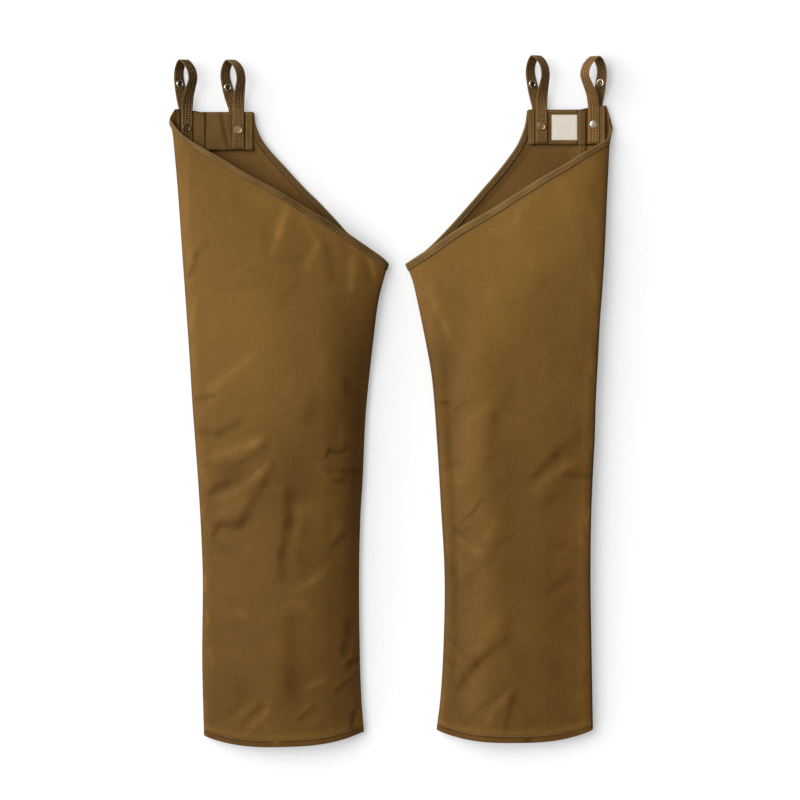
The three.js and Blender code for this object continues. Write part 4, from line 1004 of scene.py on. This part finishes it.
# A strap's line, row by row: (rise over the waist, as a share of its height; shares of its front,
# crest and back swings; height; share of the lean)
loopShape = np.array([
    (-0.98, 0, 0, 0, 8.8, 0), (-0.49, 0, 0, 0, 8.8, 0), (0, 0, 0, 0, 8.8, 0), (0.14, 0.06, 0, 0, 10.2, 0.1),
    (0.3, 0.25, 0, 0, 15, 0.45), (0.47, 0.65, 0, 0, 21.5, 0.8), (0.64, 1, 0, 0, 27, 1),
    (0.8, 0.85, 0.15, 0, 29, 1), (0.92, 0.42, 0.5, 0, 26.5, 0.9), (0.985, 0.1, 0.85, 0.05, 21, 0.8),
    (1, 0, 0.8, 0.2, 15.5, 0.8), (0.94, 0, 0.4, 0.6, 10.5, 0.85), (0.82, 0, 0.1, 0.92, 8.2, 0.9),
    (0.68, 0, 0, 1, 7.4, 0.8), (0.5, 0, 0, 0.86, 6.2, 0.6), (0.32, 0, 0, 0.66, 4, 0.3),
    (0.17, 0, 0, 0.46, 1.9, 0.08), (0.09, 0, 0, 0.36, 1.15, 0), (-0.09, 0, 0, 0.28, 1.1, 0),
    (-0.65, 0, 0, 0.1, 1.1, 0),
])
loopEnd = len(loopShape) - 1
bandFace = loopShape[0, 4]


# A column of the table, read smoothly between its rows
def loopValue(column, at):
    return through(np.stack([np.arange(loopEnd + 1), loopShape[:, column]], 1), at)


# The strap's middle line: the table's shares times its own swings and height
def loopLine(leg, strap, at):
    rise, frontShare, crest, back, high = (loopValue(column, at) for column in range(5))
    swing = frontShare * strap["front"] + crest * strap["crest"] + back * strap["back"]
    reach = np.where(rise < 0, leg["waist"] - leg["band"]["low"], strap["height"])
    return placed(leg, strap["out"] + swing, leg["waist"] + rise * reach, high)


# The strap's middle line, its direction across, leaned out where it stands up, and its face
def loopFrame(leg, strap, at):
    before, after = np.maximum(at - 0.05, 0), np.minimum(at + 0.05, loopEnd)
    tangent = unit(loopLine(leg, strap, after) - loopLine(leg, strap, before))
    lean = loopValue(5, at) * loopForm["leanMost"]
    turned = -np.sin(lean) * np.sign(leg["side"] * strap["front"])
    across = np.stack([np.cos(lean), 0 * lean, turned], -1)
    across = unit(across - tangent * (across * tangent).sum(-1, keepdims=True))
    return loopLine(leg, strap, at), across, unit(np.cross(across, tangent))


strapSeams = {}
for side, leg in legs.items():
    for label, strap in leg["straps"].items():
        at = np.linspace(0, loopEnd, loopForm["steps"])
        middle, across, face = loopFrame(leg, strap, at)
        w = np.linspace(-1, 1, loopForm["across"])
        w = np.sign(w) * (1 - (1 - np.abs(w)) ** loopForm["crowd"]) * strapWide / 2
        fromEdge = strapWide / 2 - np.abs(w)
        channels = sum(loopForm["grooveDeep"] * bell((w - g) / loopForm["grooveWide"])
                       for g in loopForm["grooves"])
        half = strapThick / 2 - channels - loopForm["edgeRound"] * bell(fromEdge / loopForm["edgeWide"])
        ripple = loopForm["ripple"] * np.sin(np.arange(len(at)) * 0.9)[:, None] * ramp(0, 3, fromEdge)[None]
        sections = middle[:, None] + across[:, None] * w[None, :, None]
        upper = sections + face[:, None] * (half[None] + ripple)[..., None]
        under = sections - face[:, None] * half[None, :, None]
        # Painted shade beside the stitch grooves and a painted highlight along the strap's edges; the tone
        # behind is partly painted light on the shaded back run
        tone = sum(loopForm["reliefShading"] * bell((np.abs(w - g) - loopForm["toneAt"]) / loopForm["toneWide"])
                   for g in loopForm["grooves"])
        start, fully, ending, end = loopForm["behind"]
        behind = ramp(start, fully, at) * ramp(end, ending, at)
        tone = tone[None] + loopForm["edgeTone"] * bell(fromEdge / 1.3)[None] \
            + mix(*strap["tones"], behind)[:, None]
        piece = shell(f"loop_strap_{side}_{label}", upper, under, tone, bulge=0.3)
        built[side][label] = wear(piece, "strap", f"belt_loop_{side}_{label}")
        run = slice(1, -1)
        high = strapThick / 2 - loopForm["grooveDeep"] + loopForm["threadHigh"]
        strapSeams[side, label] = []
        for g in loopForm["grooves"]:
            line = middle + across * g
            strapSeams[side, label] += [(line[run] + face[run] * high, face[run]),
                                        (line[run] - face[run] * high, -face[run])]
print("stage: belt loops")

# Snaps: lathe-turned caps and rings, as profiles of (share of the radius, height). A ring's
# hollow, between two of its rows, is darker.
snap = {"radius": 6.6, "least": 0.02, "ringClear": 0.65, "sides": 56, "hollow": (4, 16), "sharp": 35}
capProfiles = {
    "rimmed": [(0, 1.05), (0.55, 1.12), (0.74, 1.2), (0.8, 1.45), (0.88, 1.75), (0.95, 1.6), (1, 1.15),
               (1, 0.3), (0.97, 0), (0, 0)],
    "domed": [(0, 1.8), (0.3, 1.75), (0.55, 1.6), (0.74, 1.35), (0.88, 1.0), (0.97, 0.6), (1, 0.35),
              (0.97, 0), (0, 0)],
}
ringProfile = [(0, 0.85), (0.14, 0.8), (0.24, 0.55), (0.3, 0.35), (0.46, 0.35), (0.52, 1.1), (0.58, 1.5),
               (0.68, 1.6), (0.82, 1.5), (0.93, 1.2), (1, 0.7), (0.99, 0), (0, 0)]


# Turns a profile about an axis: centre + r (cos a u + sin a v) + h axis, both ends closed
def lathe(name, profile, centre, axis):
    profile = np.array(profile)
    stations = np.linspace(0, len(profile) - 1, 3 * (len(profile) - 1) + 1)
    r = np.interp(stations, np.arange(len(profile)), profile[:, 0]) * snap["radius"]
    h = np.interp(stations, np.arange(len(profile)), profile[:, 1])
    r[0] = r[-1] = snap["least"]
    angle = np.linspace(0, 2 * np.pi, snap["sides"], endpoint=False)
    u = unit(np.cross(axis, np.array([1.0, 0, 0])))
    v = np.cross(axis, u)
    around = np.cos(angle)[None, :, None] * u + np.sin(angle)[None, :, None] * v
    points = centre + r[:, None, None] * around + h[:, None, None] * axis
    rows, sides = points.shape[:2]
    i, j = np.meshgrid(np.arange(rows - 1), np.arange(sides), indexing="ij")
    a, b = (i * sides + j).ravel(), (i * sides + (j + 1) % sides).ravel()
    quads = np.stack([a, b, b + sides, a + sides], 1)
    fan = np.array([(0, m + 2, m + 1, m) for m in range(1, sides - 1, 2)])
    faces = np.concatenate([quads, fan, (fan + (rows - 1) * sides)[:, ::-1]])
    return meshFrom(name, points.reshape(-1, 3), faces, sharp=snap["sharp"])


caps, rings = {}, {}
for side, leg in legs.items():
    for label, strap in leg["straps"].items():
        capLow = bandFace + strapThick / 2 + form["gap"]
        centre = np.array([leg["side"] * strap["out"], strap["snap"], capLow])
        cap = lathe(f"snap_disc_{side}_{label}", capProfiles[strap["cap"]], centre, np.array([0, 0, 1.0]))
        caps[side, label] = wear(cap, "snap", f"snap_cap_{side}_{label}")
        middle, _, face = loopFrame(leg, strap, np.array(strap["ring"]))
        face = face * np.sign(face[2])
        centre = middle + face * (strapThick / 2 + snap["ringClear"])
        ring = lathe(f"snap_eyelet_{side}_{label}", ringProfile, centre, face)
        inHollow = np.zeros(len(ring.data.polygons), np.int32)
        inHollow[slice(*(row * snap["sides"] for row in snap["hollow"]))] = 1
        ring.data.polygons.foreach_set("material_index", inHollow)
        rings[side, label] = wear(ring, "snap", f"snap_ring_{side}_{label}")
print("stage: snaps")

# The label: a woven patch left bare, with a stitched border
leg = legs["right"]
patch = {"outer": 312.5, "inner": 269.8, "low": 437, "high": 479.5, "thick": 0.6, "steps": 60, "inset": 1.9,
         "border": 0.22, "groove": 0.16, "wave": 0.2, "edgeTone": -0.5, "threadHigh": 0.12,
         "thread": (2.6, 1.9, 0.35)}
out = np.linspace(patch["inner"], patch["outer"], patch["steps"])[None]
up = np.linspace(patch["low"], patch["high"], patch["steps"])[:, None]
edge = np.minimum(np.minimum(out - patch["inner"], patch["outer"] - out),
                  np.minimum(up - patch["low"], patch["high"] - up))
patchTop = onBand + patch["thick"]
z = patchTop + patch["border"] * ramp(0, 1.6, edge) - patch["groove"] * bell((edge - 2) / 0.6) \
    + patch["wave"] * np.sin(out * 0.12) * np.sin(up * 0.1) * ramp(2, 8, edge)
tone = patch["edgeTone"] * bell(edge / 1.5)
labelCloth = flatBacked("label_cloth_right", placed(leg, out, up, z), onBand, tone, 0.2)
wear(labelCloth, "label", "label_right")
left, right = patch["inner"] + patch["inset"], patch["outer"] - patch["inset"]
low, high = patch["low"] + patch["inset"], patch["high"] - patch["inset"]
corners = [(left, low), (right, low), (right, high), (left, high), (left, low)]
share = np.linspace(0.02, 0.98, 50)
labelLines = [flatRow(leg, mix(x0, x1, share), mix(y0, y1, share), patchTop + patch["threadHigh"])
              for (x0, y0), (x1, y1) in zip(corners, corners[1:])]
labelThread = wear(stitches("label_thread_right", labelLines, *patch["thread"], seed=9), "label")

# Hem stitching, then every seam's thread as one piece a leg and one a strap
for side, leg in legs.items():
    row = front["hemDistances"].index(front["hemStitch"])
    keep = slice(8, -4)
    points, normals = built[side]["grid"][row][keep], built[side]["normals"][row][keep]
    count, dense = np.linspace(0, 1, len(points)), np.linspace(0, 1, 900)
    facing = sampled(normals, count, dense)
    seams[side].append((sampled(points, count, dense) + facing * threadClear["panel"], unit(facing)))
    piece = stitches(f"seam_thread_{side}", seams[side], seed=11 + leg["side"])
    built[side]["thread"] = wear(piece, "canvas")
    for label in leg["straps"]:
        piece = stitches(f"loop_thread_{side}_{label}", strapSeams[side, label], *loopForm["thread"], seed=21)
        built[side][f"thread_{label}"] = wear(piece, "strap")
print("stage: stitching")


# Materials
def put(tree, kind, sockets=None, **settings):
    made = tree.nodes.new(kind)
    for name, value in settings.items():
        setattr(made, name, value)
    for name, value in (sockets or {}).items():
        socket = made.inputs[name]
        if isinstance(value, bpy.types.NodeSocket):
            tree.links.new(value, socket)
        else:
            socket.default_value = value
    return made


def maths(tree, operation, a, b):
    return put(tree, "ShaderNodeMath", {0: a, 1: b}, operation=operation).outputs[0]


def added(tree, values):
    total = values[0]
    for value in values[1:]:
        total = maths(tree, "ADD", total, value)
    return total


# (value - middle) * amount
def scaled(tree, value, amount, middle=0.5):
    return maths(tree, "MULTIPLY", maths(tree, "SUBTRACT", value, middle), amount)


def ranged(tree, value, toMin=0.0, toMax=1.0, fromMin=0.0, fromMax=1.0):
    sockets = {"Value": value, "From Min": fromMin, "From Max": fromMax, "To Min": toMin, "To Max": toMax}
    return put(tree, "ShaderNodeMapRange", sockets).outputs["Result"]


def times(tree, colour, amount):
    return put(tree, "ShaderNodeVectorMath", {0: colour, "Scale": amount}, operation="SCALE").outputs[0]


def noise(tree, where, scale, detail, roughness=0.5, distortion=0.0):
    sockets = {"Vector": where, "Scale": scale, "Detail": detail, "Roughness": roughness,
               "Distortion": distortion}
    return put(tree, "ShaderNodeTexNoise", sockets).outputs["Fac"]


# Noises are (scale, detail, roughness, distortion). mottle, shade and height say how much of
# each noise goes into them, tone how much of the cloth's tone and what it counts from.
wax = {
    "noises": {"broad": (6.5, 2.5, 0.5, 0.6), "patch": (26, 4, 0.6, 0.3), "grain": (380, 3, 0.6),
               "speck": (150, 2, 0.6), "crackle": (70, 5, 0.62, 1.2)},
    "mottle": {"broad": 1.5, "patch": 0.7}, "shade": {"grain": 0.6, "speck": 0.3},
    "height": {"crackle": 1.6, "grain": 0.5}, "tone": (0.35, -1.43),
    "weave": {"Scale": 330.0, "Distortion": 0.25, "Detail": 1.0},
}


# Waxed canvas: a plain weave in the cut's own places, wax mottling over the object and small
# crackled creases. It gives a shade from 0 to 1 and a height.
def waxedGroup():
    tree = bpy.data.node_groups.new("waxedCanvas", "ShaderNodeTree")
    for name, kind in (("Places", "Vector"), ("Where", "Vector"), ("Tone", "Float"), ("Mottle", "Float"),
                       ("Weave", "Float")):
        tree.interface.new_socket(name, in_out="INPUT", socket_type=f"NodeSocket{kind}")
    for name in ("Shade", "Height"):
        tree.interface.new_socket(name, in_out="OUTPUT", socket_type="NodeSocketFloat")
    given = tree.nodes.new("NodeGroupInput").outputs
    result = tree.nodes.new("NodeGroupOutput")
    noises = {kind: noise(tree, given["Where"], *values) for kind, values in wax["noises"].items()}
    weighed = lambda weights: [scaled(tree, noises[kind], weight) for kind, weight in weights.items()]
    mottle = maths(tree, "MULTIPLY", added(tree, weighed(wax["mottle"])), given["Mottle"])
    shade = added(tree, [mottle, *weighed(wax["shade"]), scaled(tree, given["Tone"], *wax["tone"])])
    clamp = put(tree, "ShaderNodeClamp", {"Value": shade})
    tree.links.new(clamp.outputs[0], result.inputs["Shade"])
    yarns = [put(tree, "ShaderNodeTexWave", {"Vector": given["Places"], **wax["weave"]},
                 bands_direction=axis).outputs["Fac"] for axis in "XY"]
    weave = maths(tree, "MULTIPLY", maths(tree, "MAXIMUM", *yarns), given["Weave"])
    tree.links.new(added(tree, [weave, *weighed(wax["height"])]), result.inputs["Height"])
    return tree


waxed = waxedGroup()


def newMaterial(name):
    material = bpy.data.materials.new(name)
    material.use_nodes = True
    material.node_tree.nodes.clear()
    return material, material.node_tree


def finished(material, tree, sockets):
    shader = put(tree, "ShaderNodeBsdfPrincipled", sockets)
    put(tree, "ShaderNodeOutputMaterial", {"Surface": shader.outputs["BSDF"]})
    return material


def objectPlaces(tree):
    return put(tree, "ShaderNodeTexCoord").outputs["Object"]


def bumped(tree, strength, distance, height):
    sockets = {"Strength": strength, "Distance": distance, "Height": height}
    return put(tree, "ShaderNodeBump", sockets).outputs["Normal"]


# Two colours, blended where a noise lies within the span
def blended(tree, value, span, dark, pale):
    amount = ranged(tree, value, 0.0, 1.0, *span)
    return put(tree, "ShaderNodeMix", {0: amount, 6: (*dark, 1), 7: (*pale, 1)}, data_type="RGBA").outputs[2]


# Below deepFrom a tone also darkens the colour itself: painted shade in gaps and hollows
clothLook = {"deepTo": -4.0, "deepFrom": -1.6, "deepest": 0.2, "roughRange": 0.08, "bumpDistance": 0.0004,
             "glossTint": (1.0, 0.72, 0.38, 1)}


def clothMaterial(name, stops, mottle, weave, rough, gloss, bump):
    material, tree = newMaterial(name)
    tone = put(tree, "ShaderNodeAttribute", attribute_name="tone").outputs["Fac"]
    places = put(tree, "ShaderNodeUVMap", uv_map="cut").outputs["UV"]
    group = put(tree, "ShaderNodeGroup", {}, node_tree=waxed)
    for socket, value in (("Places", places), ("Where", objectPlaces(tree)), ("Tone", tone)):
        tree.links.new(value, group.inputs[socket])
    group.inputs["Mottle"].default_value = mottle
    group.inputs["Weave"].default_value = weave
    shade = group.outputs["Shade"]
    shades = put(tree, "ShaderNodeValToRGB", {"Fac": shade})
    shades.color_ramp.elements.new(0.5)
    for element, colour in zip(shades.color_ramp.elements, stops):
        element.color = (*colour, 1)
    hollowShade = ranged(tree, tone, clothLook["deepest"], 1.0, clothLook["deepTo"], clothLook["deepFrom"])
    return finished(material, tree, {
        "Base Color": times(tree, shades.outputs["Color"], hollowShade), "Specular IOR Level": gloss,
        "Specular Tint": clothLook["glossTint"],
        "Roughness": ranged(tree, shade, rough + clothLook["roughRange"], rough - clothLook["roughRange"]),
        "Normal": bumped(tree, bump, clothLook["bumpDistance"], group.outputs["Height"])})


threadLook = {"fibre": (900, 2, 0.6), "patch": (60, 2, 0.5), "span": (0.3, 0.7), "dark": 0.55,
              "rough": 0.6, "gloss": 0.35, "bump": (0.4, 0.0001)}


def threadMaterial(name, colour):
    material, tree = newMaterial(name)
    where = objectPlaces(tree)
    dark = tuple(channel * threadLook["dark"] for channel in colour)
    patches = noise(tree, where, *threadLook["patch"])
    return finished(material, tree, {
        "Base Color": blended(tree, patches, threadLook["span"], dark, colour),
        "Roughness": threadLook["rough"], "Specular IOR Level": threadLook["gloss"],
        "Normal": bumped(tree, *threadLook["bump"], noise(tree, where, *threadLook["fibre"]))})


metalLook = {"worn": (260, 4, 0.65), "span": (0.35, 0.65), "roughRange": 0.1, "bump": (0.15, 0.0002)}


def metalMaterial(name, pale, dark, rough):
    material, tree = newMaterial(name)
    worn = noise(tree, objectPlaces(tree), *metalLook["worn"])
    return finished(material, tree, {
        "Base Color": blended(tree, worn, metalLook["span"], dark, pale), "Metallic": 1.0,
        "Roughness": ranged(tree, worn, rough + metalLook["roughRange"], rough - metalLook["roughRange"]),
        "Normal": bumped(tree, *metalLook["bump"], worn)})


# Each cloth's dark, middle and pale colours, how much it mottles, how plain its weave is, its
# roughness, gloss and bump
clothFinishes = {
    "waxed canvas": ([(0.084, 0.0385, 0.0080), (0.143, 0.0695, 0.0150), (0.204, 0.104, 0.0245)],
                     0.35, 0.5, 0.52, 0.22, 0.35),
    # The inside's colours are the waxed canvas darkened as painted shade inside the leg; the waist canvas is
    # darker too, partly painted shade under the roll
    "waxed canvas inside shaded": ([(0.078, 0.038, 0.0100), (0.128, 0.064, 0.0165), (0.170, 0.090, 0.0240)],
                            0.4, 0.5, 0.6, 0.2, 0.3),
    "waist canvas shaded": ([(0.066, 0.034, 0.0095), (0.108, 0.058, 0.0165), (0.150, 0.086, 0.0260)],
                     0.35, 0.6, 0.58, 0.2, 0.35),
    "binding tape": ([(0.078, 0.042, 0.0130), (0.130, 0.071, 0.0225), (0.180, 0.106, 0.0360)],
                     0.35, 0.5, 0.55, 0.22, 0.35),
    "strap cloth": ([(0.022, 0.0103, 0.0027), (0.122, 0.0610, 0.0175), (0.230, 0.122, 0.0400)],
                    0.3, 0.7, 0.6, 0.2, 0.4),
    "label weave": ([(0.52, 0.46, 0.38), (0.68, 0.62, 0.53), (0.80, 0.74, 0.65)],
                    0.15, 0.8, 0.8, 0.2, 0.25),
}
canvas, inside, shadedBandCloth, tapeCloth, strapCloth, labelWeave = (
    clothMaterial(name, *finish) for name, finish in clothFinishes.items())
seamThread = threadMaterial("seam thread", (0.45, 0.30, 0.13))
strapThread = threadMaterial("strap thread", (0.66, 0.44, 0.21))
labelThreadLook = threadMaterial("label thread", (0.50, 0.42, 0.32))

capMetals = {
    ("left", "outer"): metalMaterial("bronze snap", (0.15, 0.092, 0.042), (0.06, 0.034, 0.015), 0.35),
    ("left", "inner"): metalMaterial("tan snap", (0.50, 0.35, 0.20), (0.24, 0.16, 0.085), 0.45),
    ("right", "inner"): metalMaterial("olive snap", (0.42, 0.29, 0.16), (0.18, 0.12, 0.06), 0.42),
    ("right", "outer"): metalMaterial("silver snap", (0.78, 0.62, 0.48), (0.50, 0.38, 0.28), 0.4),
}
ringMetal = metalMaterial("ring rim", (0.92, 0.76, 0.56), (0.58, 0.45, 0.31), 0.25)
darkMetal = metalMaterial("ring hollow", (0.030, 0.020, 0.014), (0.012, 0.008, 0.006), 0.25)

for side in legs:
    kinds = {"front": canvas, "back": inside, "band": shadedBandCloth, "strip": shadedBandCloth, "outer": strapCloth,
             "inner": strapCloth, "thread": seamThread, "thread_outer": strapThread,
             "thread_inner": strapThread}
    for key, material in kinds.items():
        built[side][key].data.materials.append(material)
    for name in (f"front_edge_binding_{side}", f"back_edge_binding_{side}"):
        bpy.data.objects[name].data.materials.append(tapeCloth)
for place, metal in capMetals.items():
    caps[place].data.materials.append(metal)
    for material in (ringMetal, darkMetal):
        rings[place].data.materials.append(material)
labelCloth.data.materials.append(labelWeave)
labelThread.data.materials.append(labelThreadLook)
print("stage: materials")

# Floor, light and camera, in metres. The floor glows a little, so that it stays pale.
floorForm = {"half": 6, "pale": 0.42, "glow": 0.62, "rough": 0.9, "gloss": 0.1, "paintedShadowDepth": 0.62, "reach": 0.16,
             "towardLight": {"X": -0.93, "Y": 0.22, "Z": 0.28}, "samples": 8, "unseen": (0.25, 0.25, 0.25, 1)}
edge = floorForm["half"]
floorCorners = [(-edge, -edge, 0), (edge, -edge, 0), (edge, edge, 0), (-edge, edge, 0)]
floorMesh = bpy.data.meshes.new("floor")
floorMesh.from_pydata(floorCorners, [], [(0, 1, 2, 3)])
floor = bpy.data.objects.new("floor", floorMesh)
bpy.context.scene.collection.objects.link(floor)
floorLook, tree = newMaterial("pale floor")
# A wide soft painted shadow: the floor's colour and glow darken by how much of the light's side of the sky
# the garment hides from each place
towardLight = put(tree, "ShaderNodeCombineXYZ", floorForm["towardLight"]).outputs[0]
openSky = put(tree, "ShaderNodeAmbientOcclusion", {"Distance": floorForm["reach"], "Normal": towardLight},
              samples=floorForm["samples"]).outputs["AO"]
paintedShadowLevel = ranged(tree, openSky, 1 - floorForm["paintedShadowDepth"])
paintedShadowColour = put(tree, "ShaderNodeCombineXYZ", {axis: paintedShadowLevel for axis in "XYZ"}).outputs[0]
floorShader = put(tree, "ShaderNodeBsdfPrincipled", {
    "Base Color": times(tree, paintedShadowColour, floorForm["pale"]), "Roughness": floorForm["rough"],
    "Specular IOR Level": floorForm["gloss"], "Emission Color": paintedShadowColour,
    "Emission Strength": floorForm["glow"]}).outputs["BSDF"]
# What the floor throws back on the cloth comes from a duller, grey one
dull = put(tree, "ShaderNodeBsdfDiffuse", {"Color": floorForm["unseen"]}).outputs[0]
seen = put(tree, "ShaderNodeLightPath").outputs["Is Camera Ray"]
floorMix = put(tree, "ShaderNodeMixShader", {0: seen, 1: dull, 2: floorShader}).outputs[0]
put(tree, "ShaderNodeOutputMaterial", {"Surface": floorMix})
floorMesh.materials.append(floorLook)

sun = {"from": (-0.82, 0.36, 0.58), "angle": 60, "strength": 4.3, "sky": 0.32}
sunData = bpy.data.lights.new("key", "SUN")
sunData.energy, sunData.angle = sun["strength"], math.radians(sun["angle"])
lamp = bpy.data.objects.new("key", sunData)
lamp.location = sun["from"]
lamp.rotation_mode = "QUATERNION"
lamp.rotation_quaternion = (-lamp.location).to_track_quat("-Z", "Y")
bpy.context.scene.collection.objects.link(lamp)
world = bpy.data.worlds.new("studio")
world.use_nodes = True
world.node_tree.nodes["Background"].inputs["Color"].default_value = (1, 1, 1, 1)
world.node_tree.nodes["Background"].inputs["Strength"].default_value = sun["sky"]
bpy.context.scene.world = world

# Straight above, far off, as the garment lies
view = {"place": (0.015, 0.0011, 7.467), "lens": 200, "sensor": 36, "farthest": 50}
camera = bpy.data.objects.new("camera", bpy.data.cameras.new("camera"))
camera.location = view["place"]
camera.data.lens = view["lens"]
camera.data.sensor_width = view["sensor"]
camera.data.clip_end = view["farthest"]
bpy.context.scene.collection.objects.link(camera)
bpy.context.scene.camera = camera
bpy.context.scene.view_settings.view_transform = "Standard"

bpy.context.view_layer.update()
